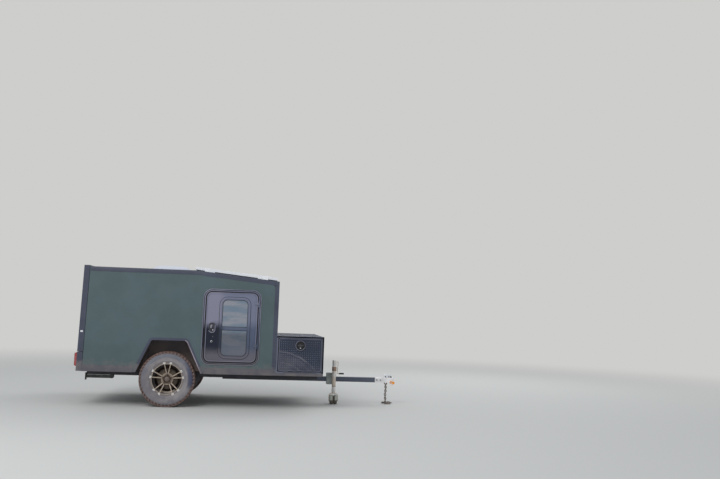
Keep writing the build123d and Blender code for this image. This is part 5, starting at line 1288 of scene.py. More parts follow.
@dataclass
class Tyre:
    """One all-terrain tyre: a ringed carcass under five rows of tread blocks.

    Attributes:
        radius: Radius over the tread.
        half: Half of its width.
        middle: Y of its middle plane, on the left.
        wall: Section from the bead to the tread on one side, as (radius, offset from the middle plane).
        bead: Radius inside the beads, and half the distance between them.
        rows: Each row's middle across the tread, its blocks' half width and its share of a pitch round.
        lug: Rings of a shoulder lug, as (radius, offset, width), down to its foot.
        lug_feet: The last ring of a short and of a long lug.
        lug_sink: How far each ring runs down and in, into the carcass.
        sink: How far below the groove the blocks start.
        pitches: Blocks round each row.
        gap: Half the gap between two blocks.
        groove: Depth of the tread's grooves.
        crown: Drop of the tread at its edges.
        skew: Lean of each block's front and back across the tread.
    """

    radius: float = 0.3445
    half: float = 0.1022
    middle: float = 0.802
    wall: Section = ((0.2075, 0.0730), (0.2085, 0.0845), (0.2150, 0.0905), (0.2260, 0.0950), (0.2275, 0.0972),
                     (0.2330, 0.0976), (0.2350, 0.0962), (0.2480, 0.0994), (0.2640, 0.1022), (0.2800, 0.1018),
                     (0.2815, 0.1004), (0.2870, 0.1000), (0.2885, 0.1012), (0.2960, 0.0996), (0.3060, 0.0958),
                     (0.3170, 0.0900), (0.3262, 0.0800))
    bead: Pair = (0.2075, 0.071)
    rows: tuple[Triple, ...] = ((-0.0795, 0.0165, 0.0), (-0.042, 0.0145, 0.5), (0.0, 0.0155, 0.2),
                                (0.042, 0.0145, 0.7), (0.0795, 0.0165, 0.4))
    lug: tuple[Triple, ...] = ((0.3395, 0.0900, 0.0160), (0.3330, 0.0965, 0.0150), (0.3190, 0.0985, 0.0140))
    lug_feet: tuple[Triple, ...] = ((0.3130, 0.1010, 0.0120), (0.3010, 0.1010, 0.0120))
    lug_sink: Pair = (0.004, 0.012)
    sink: float = 0.003
    pitches: int = 46
    gap: float = 0.0036
    groove: float = 0.011
    crown: float = 0.0045
    skew: float = 0.005

    def build(self) -> None:
        """Build both tyres in place of their plain bodies."""
        base = self.radius - self.groove
        crown = [(base - self.crown * share ** 2, share * 0.07) for share in (1, 0.5, 0, -0.5, -1)]
        far_wall = [(radius, -offset) for radius, offset in reversed(self.wall)]
        inside, half = self.bead
        carcass = [*self.wall, *crown, *far_wall, (inside, -half), (inside, half)]
        for side, hand in SIDES:
            axis = frame_at((AXLE_X, side * self.middle, self.radius), (0, side, 0))
            form = Form().lathe(carcass, axis, 96, closed=True)
            self.tread(form, axis)
            self.shoulders(form, axis)
            made = form.piece(f"tyre_tread_{hand}", f"wheel_{hand}", "tyre_rubber", spread=28.0)
            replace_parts(made, f"tyre_{hand}")

    def block(self, form: Form, axis: Matrix, outline: Section, turn: float) -> None:
        """Set one block on the crown, from an outline laid out flat round and across the tread.

        Args:
            form: The form that takes the shapes.
            axis: Frame whose z is the wheel's axis.
            outline: Outline of the block, as (round, across).
            turn: Its angle round the axis.
        """
        rings = []
        for depth in (self.groove + self.sink, 0.0):
            ring = []
            for along, across in outline:
                reach = self.radius - self.crown * (across / self.half) ** 2 - depth
                bend = turn + along / self.radius
                ring.append((reach * cos(bend), reach * sin(bend), across))
            rings.append(ring)
        form.rings(rings, axis)

    def tread(self, form: Form, axis: Matrix) -> None:
        """Set the blocks of every row.

        Args:
            form: The form that takes the shapes.
            axis: Frame whose z is the wheel's axis.
        """
        step = 2 * pi / self.pitches
        length = step * self.radius * 0.5 - self.gap
        for across, half, start in self.rows:
            lean = self.skew if across <= 0 else -self.skew
            front = [(-length + lean, -half), (length * 0.4 + lean, -half),
                     (length * 0.4 + lean * 0.6, -half * 0.35), (length + lean * 0.6, -half * 0.35)]
            outline = [(sign * x, across + sign * y) for sign in (1, -1) for x, y in front]
            for index in range(self.pitches):
                self.block(form, axis, outline, (index + start) * step)

    def shoulders(self, form: Form, axis: Matrix) -> None:
        """Set the lugs that run from the tread down over each shoulder, long and short in turn.

        Args:
            form: The form that takes the shapes.
            axis: Frame whose z is the wheel's axis.
        """
        for edge, start in ((-1, self.rows[0][2]), (1, self.rows[-1][2])):
            for index in range(self.pitches):
                turn = (index + start) * 2 * pi / self.pitches
                rings = []
                for radius, offset, width in (*self.lug, self.lug_feet[index % 2]):
                    half = width / radius / 2
                    low, inner = radius - self.lug_sink[0], offset - self.lug_sink[1]
                    spots = [(radius, offset, turn - half), (radius, offset, turn + half),
                             (low, inner, turn + half), (low, inner, turn - half)]
                    rings.append([(far * cos(bend), far * sin(bend), edge * out) for far, out, bend in spots])
                form.rings(rings, axis)


@dataclass
class WheelDress:
    """What is fixed on each wheel: white pads of painted highlight at the spokes' ends, a valve, the cap's
    ring and a dark shield.

    Attributes:
        tip: Place of a tip from the hub: its radius, its side step from the pair's middle, and out.
        tip_size: Length and height of a tip.
        pairs: Number of spoke pairs.
        bolt: Section of the bolt in each tip.
        ring: Section of the cap's ring, as (radius, from the cap's face).
        boss: Section of the lighter boss in the cap, the same way.
        cap_out: Offset of the cap's face from the wheel's middle plane.
        shield: Section of the dished shield behind the barrel, from its back.
        shield_back: Offset of the shield's back from the middle plane.
        valve: Section of the tyre's valve.
        valve_place: Radius and offset of the valve's foot.
    """

    tip: Triple = (0.1965, 0.0408, 0.0872)
    tip_size: Pair = (0.023, 0.033)
    pairs: int = 5
    bolt: Section = ((0.0042, 0.0018), (0.0042, 0.0048), (0.0022, 0.0056), (0.0020, 0.0040))
    ring: Section = ((0.046, -0.016), (0.046, -0.003), (0.043, 0.0016), (0.034, 0.0024), (0.031, -0.001),
                     (0.031, -0.016))
    boss: Section = ((0.026, -0.004), (0.026, 0.0), (0.021, 0.003), (0.010, 0.0042), (0.003, 0.0044))
    cap_out: float = 0.062
    shield: Section = ((0.046, 0.0), (0.110, 0.0), (0.118, 0.006), (0.132, 0.006), (0.140, 0.0),
                       (0.176, -0.004), (0.176, -0.0065), (0.046, -0.003))
    shield_back: float = -0.062
    valve: Section = ((0.0052, 0.0), (0.0052, 0.012), (0.0036, 0.014), (0.0036, 0.026), (0.0046, 0.0265),
                      (0.0046, 0.036), (0.002, 0.0375))
    valve_place: Pair = (0.178, 0.052)

    def build(self) -> None:
        """Build the pieces of both wheels."""
        for side, hand in SIDES:
            axis = frame_at((AXLE_X, side * Tyre.middle, Tyre.radius), (0, side, 0), (0, 0, 1))
            body = f"wheel_{hand}"
            tip_highlights, bolts = Form(), Form()
            radius, step, out = self.tip
            for pair in range(self.pairs):
                turn = axis @ Matrix.Rotation(2 * pi * pair / self.pairs, 4, "Z")
                for end in (-1, 1):
                    spot = turn @ Matrix.Translation((radius, end * step, out))
                    # Painted highlight: white pads where the spokes meet the lip.
                    tip_highlights.prism(rounded(rectangle(*self.tip_size), 0.005, 3), -0.0015, 0.0026, spot, 0.12)
                    bolts.lathe(self.bolt, spot, 10)
            tip_highlights.piece(f"spoke_tip_highlights_{hand}", body, "wheel_bronze", "white_and_highlight")
            bolts.piece(f"spoke_bolts_{hand}", body, "wheel_bronze", "bare_steel")
            face = axis @ Matrix.Translation((0, 0, self.cap_out))
            foot = Matrix.Translation((self.valve_place[0], 0, self.valve_place[1]))
            foot = axis @ Matrix.Rotation(pi / self.pairs, 4, "Z") @ foot
            back = axis @ Matrix.Translation((0, 0, self.shield_back))
            for name, section, place, steps, closed, slot, finish in (
                    ("cap_ring", self.ring, face, 40, True, "hub_iron", "cap_brown"),
                    ("cap_boss", self.boss, face, 32, False, "hub_iron", "cap_centre"),
                    ("valve", self.valve, foot, 12, False, "wheel_bronze", "rubber_black"),
                    ("wheel_shield", self.shield, back, 48, True, "hub_iron", "shield_dusty")):
                Form().lathe(section, place, steps, closed).piece(f"{name}_{hand}", body, slot, finish)


@dataclass
class DoorDress:
    """Rubber, bright metal, moulded ribs, and strips of painted highlight and painted shade on each cabin
    door.

    Attributes:
        middle: Middle of the door slab, as (x, z).
        size: Length and height of the slab.
        corner: Rounding of its corners.
        face: How far the slab's face stands out of the wall.
        window: Middle of the window.
        pane: Length and height of its glass.
        pane_corner: Rounding of the glass.
        bar: Height of the bar's middle and half its width.
        bulb: Radius of the bulb seal.
        gaskets: Rubber round the glass, as (distance from it, section); the outermost is a dark strip of
            painted shade at the ring's foot.
        crest: Section of the rounded crest on a moulded ridge, over the slab's face.
        ribs: First angle, step in degrees and number of the ribs in an upper corner.
        rib: Length and width of one.
        rib_in: From the corner's outline in to the ribs' middle.
        latch: Middle of the latch pan.
        pan: Length and height of the pan's dark ring of painted shade.
        arch: Half the length and the height of the handle's arch, a dark strip of painted shade.
        hook: The same for the pale rim of painted highlight under it.
        bars: Place and size of each bright bar on the handle.
        bolt: Section of the deadbolt's bright ring.
        core: Section of its dark core.
        knob: Section of the small bright button.
        deadbolt: Place of the deadbolt from the latch.
        button: Place of the small bright button from the latch.
        hinges: Heights of the hinges.
        hinge_screws: Places of their screws, as (x, from the hinge's middle).
    """

    middle: Pair = (-0.184, 1.0115)
    size: Pair = (0.6404, 0.8684)
    corner: float = 0.0677
    face: float = 0.006
    window: Pair = (-0.1445, 1.003)
    pane: Pair = (0.320, 0.706)
    pane_corner: float = 0.062
    bar: Pair = (0.994, 0.019)
    bulb: float = 0.0024
    gaskets: tuple[tuple[float, Section], ...] = (
        (0.0, ((0.0, -0.0022), (0.0, 0.0035), (0.0025, 0.004), (0.0065, 0.0), (0.0065, -0.0022))),
        (0.0105, ((-0.0018, 0.0085), (-0.0012, 0.0112), (0.0012, 0.0112), (0.0018, 0.0085))),
        # Painted shade: the outermost dark strip at the foot of the window's ring.
        (0.0325, ((-0.0050, 0.0058), (-0.0044, 0.0066), (0.0004, 0.0066), (0.0006, 0.0058))))
    crest: Section = ((-0.0042, -0.0006), (-0.0034, 0.0010), (-0.0012, 0.0018), (0.0012, 0.0018),
                      (0.0034, 0.0010), (0.0042, -0.0006))
    ribs: tuple[float, float, int] = (10, 8.75, 9)
    rib: Pair = (0.007, 0.0018)
    rib_in: float = 0.0165
    latch: Pair = (-0.4232, 1.000)
    pan: Pair = (0.070, 0.116)
    arch: Pair = (0.038, 0.034)
    hook: Pair = (0.0385, 0.0335)
    bars: tuple[tuple[Pair, Pair], ...] = (((-0.012, 0.016), (0.0085, 0.044)),
                                           ((0.011, -0.029), (0.016, 0.015)))
    bolt: Section = ((0.0128, 0.0100), (0.0128, 0.0124), (0.0112, 0.0132), (0.0088, 0.0126), (0.0084, 0.0100))
    core: Section = ((0.0084, 0.0100), (0.0084, 0.0118), (0.0020, 0.0120))
    knob: Section = ((0.0034, 0.0055), (0.0034, 0.0072), (0.0022, 0.0082), (0.0008, 0.0084))
    deadbolt: Pair = (0.0, -0.172)
    button: Pair = (0.014, -0.108)
    hinges: Pair = (0.790, 1.315)
    hinge_screws: Section = ((0.112, -0.0085), (0.112, 0.0085), (0.128, -0.0085), (0.128, 0.0085))

    def build(self) -> None:
        """Dress the doors of both sides."""
        for side, hand in SIDES:
            flat = side_frame(side)
            self.seals(flat, hand)
            self.mouldings(flat, hand)
            self.corner_ribs(flat, hand)
            self.latch_metal(flat, hand)
            self.screws(side, hand)

    def seals(self, flat: Matrix, hand: str) -> None:
        """Lay the door's bulb seal, and the rubber round the glass and along the bar.

        Args:
            flat: Frame of that side's flat face.
            hand: The side's name, right or left.
        """
        bulb = [(self.bulb * cos(turn), self.bulb * sin(turn) + 0.0006) for turn in turns(0, 45, 8)]
        path = grown(self.middle, self.size, self.corner, 0.003)
        form = Form().strip(path, bulb, flat, closed=True)
        form.piece(f"door_seal_{hand}", "chassis", "door_black", "rubber_black")
        form = Form()
        for grow, section in self.gaskets:
            form.strip(grown(self.window, self.pane, self.pane_corner, grow), section, flat, closed=True)
        level, half = self.bar
        for edge in (-1, 1):
            middle = (self.window[0], level + edge * (half + 0.003))
            form.prism(rectangle(self.pane[0], 0.006, middle), -0.0022, 0.0016, flat)
        form.piece(f"window_gasket_{hand}", f"door_{hand}", "door_black", "rubber_black")

    def mouldings(self, flat: Matrix, hand: str) -> None:
        """Round off the ridges' crests with pale beads of painted highlight, and lay dark strips of painted
        shade in the frame's groove and over the gap round the slab.

        Args:
            flat: Frame of that side's flat face.
            hand: The side's name, right or left.
        """
        flange = self.middle[0] - self.size[0] / 2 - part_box(f"door_frame_{hand}")[0].x
        low, high = ([(x, z + self.face + lift) for x, z in self.crest] for lift in (0.0, 0.002))
        # Painted highlight on the two beads; painted shade in the groove and over the gap.
        for name, body, finish, grow, section in (
                ("frame_bead", "chassis", "ridge_highlight_and_dust", flange - 0.0052, low),
                ("frame_groove_shade", "chassis", "rubber_black", flange - 0.0108,
                 flat_bar(0.0030, 0.0052, 0.0, 0.0058)),
                ("gap_shade_strip", "chassis", "rubber_black", 0.0060, flat_bar(0.0028, 0.0068, 0.0, -0.0070)),
                ("slab_bead", f"door_{hand}", "ridge_highlight_and_dust", -0.0068, high)):
            path = grown(self.middle, self.size, self.corner, grow)
            form = Form().strip(path, section, flat, closed=True)
            form.piece(f"{name}_{hand}", body, "door_black", finish)

    def corner_ribs(self, flat: Matrix, hand: str) -> None:
        """Raise the short ribs that fan out in the slab's upper corners.

        Args:
            flat: Frame of that side's flat face.
            hand: The side's name, right or left.
        """
        form = Form()
        for end in (-1, 1):
            centre = Vector((self.middle[0] + end * (self.size[0] / 2 - self.corner),
                             self.middle[1] + self.size[1] / 2 - self.corner))
            for turn in turns(*self.ribs):
                ray = Vector((end * cos(turn), sin(turn)))
                spot = centre + ray * (self.corner - self.rib_in)
                beside = Vector((-ray.y, ray.x))
                outline = [tuple(spot + ray * x + beside * y) for x, y in rectangle(*self.rib)]
                form.prism(outline, self.face - 0.0005, self.face + 0.0016, flat, 0.15)
        form.piece(f"door_corner_ribs_{hand}", f"door_{hand}", "door_black")

    def latch_metal(self, flat: Matrix, hand: str) -> None:
        """Set the paddle latch's pan ring and arch of painted shade, its rim of painted highlight, its bright
        bars, and the deadbolt under it.

        Args:
            flat: Frame of that side's flat face.
            hand: The side's name, right or left.
        """
        body = f"door_{hand}"
        pan = flat @ Matrix.Translation((*self.latch, 0.0))
        bolt = pan @ Matrix.Translation((*self.deadbolt, 0.0))
        bright, dark, worn = Form(), Form(), Form()
        rim = rounded(rectangle(*self.pan), 0.026, 6)
        # Painted shade: a dark ring inside the pan and a dark arch over the handle.
        dark.strip(rim, flat_bar(0.0036, 0.0054, 0.0, 0.0190), pan, closed=True)
        long, high = self.arch
        arch = [(long * cos(turn), 0.026 + high * sin(turn)) for turn in turns(10, 16, 11)]
        dark.strip(arch, [(-0.0045, 0.0120), (-0.0040, 0.0142), (0.0040, 0.0142), (0.0045, 0.0120)], pan)
        long, high = self.hook
        hook = [(long, 0.036), *((long * cos(turn), high * sin(turn) - 0.028) for turn in turns(0, -12, 15))]
        # Painted highlight: the pale rim under the handle.
        worn.strip(hook, [(-0.0045, 0.0120), (-0.0034, 0.0144), (0.0034, 0.0144), (0.0045, 0.0120)], pan)
        worn.piece(f"latch_rim_highlight_{hand}", body, "door_black", "ridge_highlight_and_dust")
        for place, size in self.bars:
            bright.prism(rounded(rectangle(*size, place), 0.0035, 4), 0.0080, 0.0102, pan, 0.1)
        bright.lathe(self.bolt, bolt, 28, closed=True)
        dark.lathe(self.core, bolt, 24)
        bright.prism(rectangle(0.0016, 0.0085), 0.0112, 0.0124, bolt)
        bright.lathe(self.knob, pan @ Matrix.Translation((*self.button, 0.0)), 12)
        bright.piece(f"latch_bright_{hand}", body, "door_black", "bright_chrome")
        dark.piece(f"deadbolt_core_and_pan_shade_{hand}", body, "door_black", "screw_dark")

    def screws(self, side: int, hand: str) -> None:
        """Set the screws through the hinge straps.

        Args:
            side: -1 for the right and 1 for the left.
            hand: The side's name, right or left.
        """
        form = Form()
        for level in self.hinges:
            for x, rise in self.hinge_screws:
                spot = on_surface(f"door_{hand}", (x, side * (HALF + 0.1), level + rise), (0, -side, 0))
                screw(form, frame_at(spot, (0, side, 0)), 0.0034, 0.0016)
        form.piece(f"hinge_screws_{hand}", f"door_{hand}", "door_black", "bare_steel")


@dataclass
class TreadPattern:
    """Raised lozenges of rolled tread plate, each row turned the other way.

    Attributes:
        pitch: From one lozenge to the next.
        length: Length of one.
        width: Width of one.
        rise: Its height.
        blunt: Share of its length that is as wide as its middle.
    """

    pitch: float = 0.027
    length: float = 0.021
    width: float = 0.0062
    rise: float = 0.0013
    blunt: float = 0.45

    def cover(self, form: Form, plate: Matrix, size: Pair, clear: Sequence[Triple] = ()) -> None:
        """Cover a rectangle round a frame's origin with lozenges.

        Args:
            form: Form to add them to.
            plate: Frame on the plate, z outwards.
            size: Length and height of the rectangle.
            clear: Round places to leave clear, as (x, y, radius).
        """
        half, side = self.length / 2, self.width / 2
        inner = half * self.blunt
        outline = [(-half, 0.0), (-inner, -side), (inner, -side), (half, 0.0), (inner, side), (-inner, side)]
        counts = [max(1, int((reach - self.length) / self.pitch) + 1) for reach in size]
        for column in range(counts[0]):
            for row in range(counts[1]):
                x = (column - (counts[0] - 1) / 2) * self.pitch
                y = (row - (counts[1] - 1) / 2) * self.pitch
                if any((x - a) ** 2 + (y - b) ** 2 < (reach + half) ** 2 for a, b, reach in clear):
                    continue
                turn = Matrix.Rotation(radians(45.0 if (column + row) % 2 else -45.0), 4, "Z")
                form.prism(outline, -LIFT, self.rise, plate @ Matrix.Translation((x, y, 0)) @ turn, 0.3)


@dataclass
class ToolboxDress:
    """Tread plate, borders, seals and round latches of the toolbox on the deck.

    Attributes:
        middle: Middle of each side door, as (x, z).
        door: Length and height of the door.
        latch: Middle of its latch.
        latch_radius: Radius of the latch.
        dish: Section of the latch's dish, as (from that radius, height).
        rim: Section of its rim, pale with painted highlight, the same way.
        gloss: Section of its glossy ring, the same way.
        handle: Length and height of its folding handle.
        boss: Section of the boss in its middle.
        lock: Section of its lock.
        lock_drop: From the latch's middle down to the lock.
        border: Width of the plain border along the plates' edges.
        mouth: How much longer and higher the mouth is than the door.
        sheet: Thickness of the folded edge strips.
        lift: Gap between the strips and the plates.
        edge: Width of the strips along the upper edges.
        pattern: The tread plate's pattern.
    """

    middle: Pair = (0.69715, 0.689)
    door: Pair = (0.5567, 0.420)
    latch: Pair = (0.69715, 0.807)
    latch_radius: float = 0.062
    dish: Section = ((-0.0120, 0.0018), (-0.0130, 0.0030))
    rim: Section = ((0.0016, 0.0060), (0.0024, 0.0100), (0.0004, 0.0140), (-0.0034, 0.0148),
                    (-0.0036, 0.0136))
    gloss: Section = ((0.0012, 0.0002), (0.0012, 0.0085), (-0.002, 0.0138), (-0.008, 0.0142),
                      (-0.0125, 0.0100), (-0.0125, 0.0022))
    handle: Pair = (0.082, 0.020)
    boss: Section = ((0.0185, 0.0030), (0.0185, 0.0150), (0.0160, 0.0176), (0.0060, 0.0182))
    lock: Section = ((0.0082, 0.0024), (0.0082, 0.0070), (0.0066, 0.0082), (0.0014, 0.0084))
    lock_drop: float = 0.031
    border: float = 0.016
    mouth: float = 0.010
    sheet: float = 0.0016
    lift: float = 0.0001
    edge: float = 0.022
    pattern: TreadPattern = field(default_factory=TreadPattern)

    def build(self) -> None:
        """Dress the whole toolbox."""
        low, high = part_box("toolbox_shell")
        for side, hand in SIDES:
            face = side_frame(side) @ Matrix.Translation((*self.middle, 0.0))
            self.door_face(face, hand)
            self.latch_parts(side_frame(side) @ Matrix.Translation((*self.latch, 0.0)), hand)
            self.mouth_border(face, hand)
        form = Form()
        top = frame_at(((low.x + high.x) / 2, 0, high.z), (0, 0, 1))
        front = frame_at((high.x, 0, (low.z + high.z) / 2), (1, 0, 0), (0, 1, 0))
        self.pattern.cover(form, top, (high.x - low.x - 0.03, 2 * HALF - 0.03))
        self.pattern.cover(form, front, (2 * HALF - 0.03, high.z - low.z - 0.03))
        # Painted highlight: the lozenges are paler than the plate.
        form.piece("toolbox_tread", "chassis", "tread_plate", "lozenge_highlight_and_dust")
        self.edges(low, high)

    def door_face(self, face: Matrix, hand: str) -> None:
        """Cover a side door with lozenges, and frame it with a gasket and a plain folded strip.

        Args:
            face: Frame of the toolbox's side face.
            hand: The side's name, right or left.
        """
        body = f"toolbox_door_{hand}"
        length, height = self.door
        form = Form()
        clear = [(0.0, self.latch[1] - self.middle[1], self.latch_radius)]
        self.pattern.cover(form, face, (length - 2 * self.border, height - 2 * self.border - 0.02), clear)
        # Painted highlight: the lozenges are paler than the plate.
        form.piece(f"toolbox_door_tread_{hand}", body, "tread_plate", "lozenge_highlight_and_dust")
        path = rounded(rectangle(length - 0.001, height - 0.001), 0.006, 4)
        gasket = [(0.0, -0.0100), (0.0, 0.0019), (0.0058, 0.0019), (0.0060, self.lift)]
        strip = [(0.0062, self.lift), (0.0062, self.sheet), (self.border * 0.85, self.sheet),
                 (self.border * 0.92, self.lift)]
        for name, section, finish in (("gasket", gasket, "rubber_black"), ("edge", strip, "plate_edge")):
            form = Form().strip(path, section, face, closed=True)
            form.piece(f"toolbox_door_{name}_{hand}", body, "tread_plate", finish)

    def mouth_border(self, face: Matrix, hand: str) -> None:
        """Fold a strip round the mouth, with a dark seal inside it.

        Args:
            face: Frame of the toolbox's side face.
            hand: The side's name, right or left.
        """
        size = [reach + self.mouth for reach in self.door]
        for name, shrink, section, finish in (
                ("mouth_edge", 0.0, flat_bar(self.lift, self.sheet, -LIFT, -0.0150), "plate_edge"),
                ("seal", LIFT, flat_bar(-0.014, -0.003, 0.0, 0.0026), "rubber_black")):
            path = rectangle(*(reach - shrink for reach in size))
            form = Form().strip(path, section, face, closed=True)
            form.piece(f"toolbox_{name}_{hand}", "chassis", "tread_plate", finish)

    def latch_parts(self, axis: Matrix, hand: str) -> None:
        """Set the glossy ring, the rim of painted highlight, the dish, the folding handle and the lock on a
        side door.

        Args:
            axis: Frame whose z is the latch's axis.
            hand: The side's name, right or left.
        """
        body = f"toolbox_door_{hand}"
        dish, rim, outer = ([(self.latch_radius + out, level) for out, level in section]
                            for section in (self.dish, self.rim, self.gloss))
        form = Form().lathe([*dish, (0.0180, 0.0024)], axis, 48)
        form.piece(f"toolbox_dish_{hand}", body, "tread_plate", "rubber_black")
        # Painted highlight: a pale rim round the latch.
        form = Form().lathe(rim, axis, 48, closed=True)
        form.piece(f"toolbox_latch_rim_highlight_{hand}", body, "tread_plate", "ridge_highlight_and_dust")
        form = Form().lathe(outer, axis, 48, closed=True)
        form.prism(rounded(rectangle(*self.handle), 0.0085, 6), 0.0030, 0.0158, axis, 0.05)
        form.lathe(self.boss, axis, 32)
        form.piece(f"toolbox_latch_{hand}", body, "tread_plate", "gloss_black", bevel=0.0008)
        form = Form().lathe(self.lock, axis @ Matrix.Translation((0.0, -self.lock_drop, 0.0)), 24)
        form.piece(f"toolbox_lock_{hand}", body, "tread_plate", "bright_chrome")

    def edges(self, low: Vector, high: Vector) -> None:
        """Fold strips along the toolbox's upper edges and down its front corners.

        Args:
            low: Low corner of the toolbox.
            high: High corner of the toolbox.
        """
        form = Form()
        section = angle(self.edge, self.edge, self.sheet, 0.002, self.lift)
        for side, _ in SIDES:
            path = [(low.x + 0.002, high.z), (high.x, high.z), (high.x, low.z)]
            form.strip(path, section, side_frame(side))
        front = Matrix(((0, 0, 1, high.x), (1, 0, 0, 0), (0, 1, 0, 0), (0, 0, 0, 1)))
        form.strip([(-HALF, high.z), (HALF, high.z)], section, front)
        form.piece("toolbox_edges", "chassis", "tread_plate", "plate_edge")


@dataclass
class CouplerDress:
    """The latch's hood, the bolts, the orange snap clip and the chains at the coupler.

    Attributes:
        hood_top: Rear end, front end and height of the hood's upper edge.
        hood_foot: The same for its lower edge.
        hood_half: Half the hood's width.
        slot: Section of the dark slots in the hood's cheeks.
        bolt: Section of the bolts through the channel.
        bolt_side: From the middle to their faces.
        bolt_level: Their height.
        nose_nut: Section of the nut on the nose.
        nose_x: Where it sits.
        clip: Middle of the snap clip.
        clip_size: Its length, height and thickness.
        clip_lean: Its lean in degrees.
        shank: From the clip's middle down to the bend of its hook.
        bend: Radius of the hook's bend.
        chain_x: Where the chains hang.
        chain_side: From the middle to each chain.
        shackle: Half the width, the upper level and the bend's level of the bow each chain hangs from.
        bow: Radius of the bow's rod.
        wire: Radius of a link's wire.
        link: Length and width of a link.
        hanging: Links that hang free in each chain.
        heaped: Links that lie on the ground.
        heap: How far from its chain the heap may reach, as (x, y).
    """

    hood_top: Triple = (1.912, 2.030, 0.412)
    hood_foot: Triple = (1.934, 2.008, 0.3672)
    hood_half: float = 0.022
    slot: Section = ((0.0082, -0.0004), (0.0082, 0.0008), (0.0010, 0.0009))
    bolt: Section = ((0.0115, 0.0), (0.0115, 0.0018), (0.0086, 0.0022), (0.0086, 0.0082), (0.0060, 0.0090))
    bolt_side: float = 0.0434
    bolt_level: float = 0.331
    nose_nut: Section = ((0.014, 0.0), (0.014, 0.007), (0.007, 0.008), (0.007, 0.014), (0.003, 0.0155))
    nose_x: float = 2.012
    clip: Triple = (2.037, -0.0540, 0.2990)
    clip_size: Triple = (0.064, 0.036, 0.018)
    clip_lean: float = 6.0
    shank: float = 0.034
    bend: float = 0.006
    chain_x: float = 1.9535
    chain_side: float = 0.026
    shackle: Triple = (0.014, 0.2982, 0.284)
    bow: float = 0.0042
    wire: float = 0.0036
    link: Pair = (0.040, 0.026)
    hanging: int = 10
    heaped: int = 13
    heap: Pair = (0.062, 0.055)

    def build(self) -> None:
        """Build everything at the coupler."""
        self.hood()
        self.bolts()
        self.snap_clip()
        self.chains()

    def hood(self) -> None:
        """Fold the latch's hood, wider at its top, with a lip to lift it by and dark slots."""
        across = Matrix(((1, 0, 0, 0), (0, 0, 1, 0), (0, 1, 0, 0), (0, 0, 0, 1)))
        rear, front, top = self.hood_top
        low_rear, low_front, foot = self.hood_foot
        half = self.hood_half
        waist = foot + (top - foot) * 0.55
        cheek = [(low_rear, foot), (low_front, foot), (low_front + 0.004, waist - 0.012),
                 (front - 0.010, waist), (front, top - 0.006), (front - 0.004, top), (rear + 0.002, top),
                 (rear, top - 0.005), (rear + 0.010, waist), (low_rear + 0.004, waist - 0.012)]
        lip = [(rear + 0.004, top - 0.008), (rear + 0.004, top), (rear - 0.020, top + 0.006),
               (rear - 0.021, top + 0.003)]
        form = Form().prism(cheek, -half, half, across).prism(lip, -half * 0.7, half * 0.7, across)
        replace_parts(form.piece("latch_hood", "chassis", "latch_white", bevel=0.0018), "coupler_latch")
        dark = Form()
        for end in (-1, 1):
            for x in (low_rear + 0.012, low_front - 0.014):
                dark.lathe(self.slot, frame_at((x, end * half, foot + 0.011), (0, end, 0)), 20)
        shadow = [(low_front - 0.004, foot), (front + 0.004, foot), (front + 0.004, foot + 0.012),
                  (low_front + 0.010, waist)]
        dark.prism(shadow, -half * 0.8, half * 0.8, across)
        dark.piece("latch_shadow_slots", "chassis", "latch_white", "rubber_black")

    def bolts(self) -> None:
        """Set the bolts through the coupler's channel and the nut on its nose."""
        form = Form()
        low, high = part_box("coupler")
        for side, _ in SIDES:
            for x in (low.x + 0.026, low.x + 0.078):
                form.lathe(self.bolt, frame_at((x, side * self.bolt_side, self.bolt_level), (0, side, 0)), 6)
        form.lathe(self.nose_nut, frame_at((self.nose_x, 0, high.z - 0.0004), (0, 0, 1)), 6)
        form.piece("coupler_bolts", "chassis", "coupler_zinc", "bare_steel", bevel=0.0006)

    def snap_clip(self) -> None:
        """Hang the orange snap clip under the nose, with its small white hook."""
        length, height, thick = self.clip_size
        half = thick / 2
        spot = Matrix.Translation(self.clip) @ Matrix.Rotation(radians(self.clip_lean), 4, "Y")
        flat = spot @ Matrix(((1, 0, 0, 0), (0, 0, -1, 0), (0, 1, 0, 0), (0, 0, 0, 1)))
        path = rounded(rectangle(length, height), 0.0095, 6)
        form = Form().strip(path, flat_bar(-half, half, 0.0, 0.0075), flat, closed=True)
        gate = rectangle(length * 0.34, height * 0.9, (length * 0.2, 0.0))
        form.prism(rounded(gate, 0.004, 4), -thick * 0.42, thick * 0.42, flat)
        thumb = rectangle(0.010, 0.006, (-length * 0.22, height / 2))
        form.prism(rounded(thumb, 0.002, 3), -half, half, flat)
        form.piece("snap_clip", "chassis", "coupler_zinc", "clip_orange", bevel=0.0015)
        x, y, z = self.clip
        x -= 0.002
        path = [(x, y, z - height / 2 + 0.004), (x, y, z - self.shank)]
        path += [(x + self.bend * (1 - cos(turn)), y, z - self.shank - self.bend * sin(turn))
                 for turn in turns(30, 30, 6)]
        path += [(x + 2 * self.bend, y, z - self.shank + 0.008)]
        hook = Form().tube(path, 0.0026, 10)
        x -= 0.001
        hook.tube([(x, y, z + height / 2 - 0.006), (x, -0.0425, z + height / 2 + 0.006)], 0.0022, 8)
        hook.piece("clip_hook", "chassis", "coupler_zinc", "white_and_highlight")

    def chain_link(self, form: Form, middle: Vector, long: Vector, wide: Vector) -> None:
        """Add one oval link.

        Args:
            form: The form that takes the shapes.
            middle: Middle of the link.
            long: Direction of its length.
            wide: Direction of its width.
        """
        straight = (self.link[0] - self.link[1]) / 2
        bend = self.link[1] / 2 - self.wire
        path = [middle + end * (straight * long + bend * (sin(turn) * long + cos(turn) * wide))
                for end in (1, -1) for turn in turns(0, 180 / 7, 8)]
        form.tube(path, self.wire, 8, closed=True)

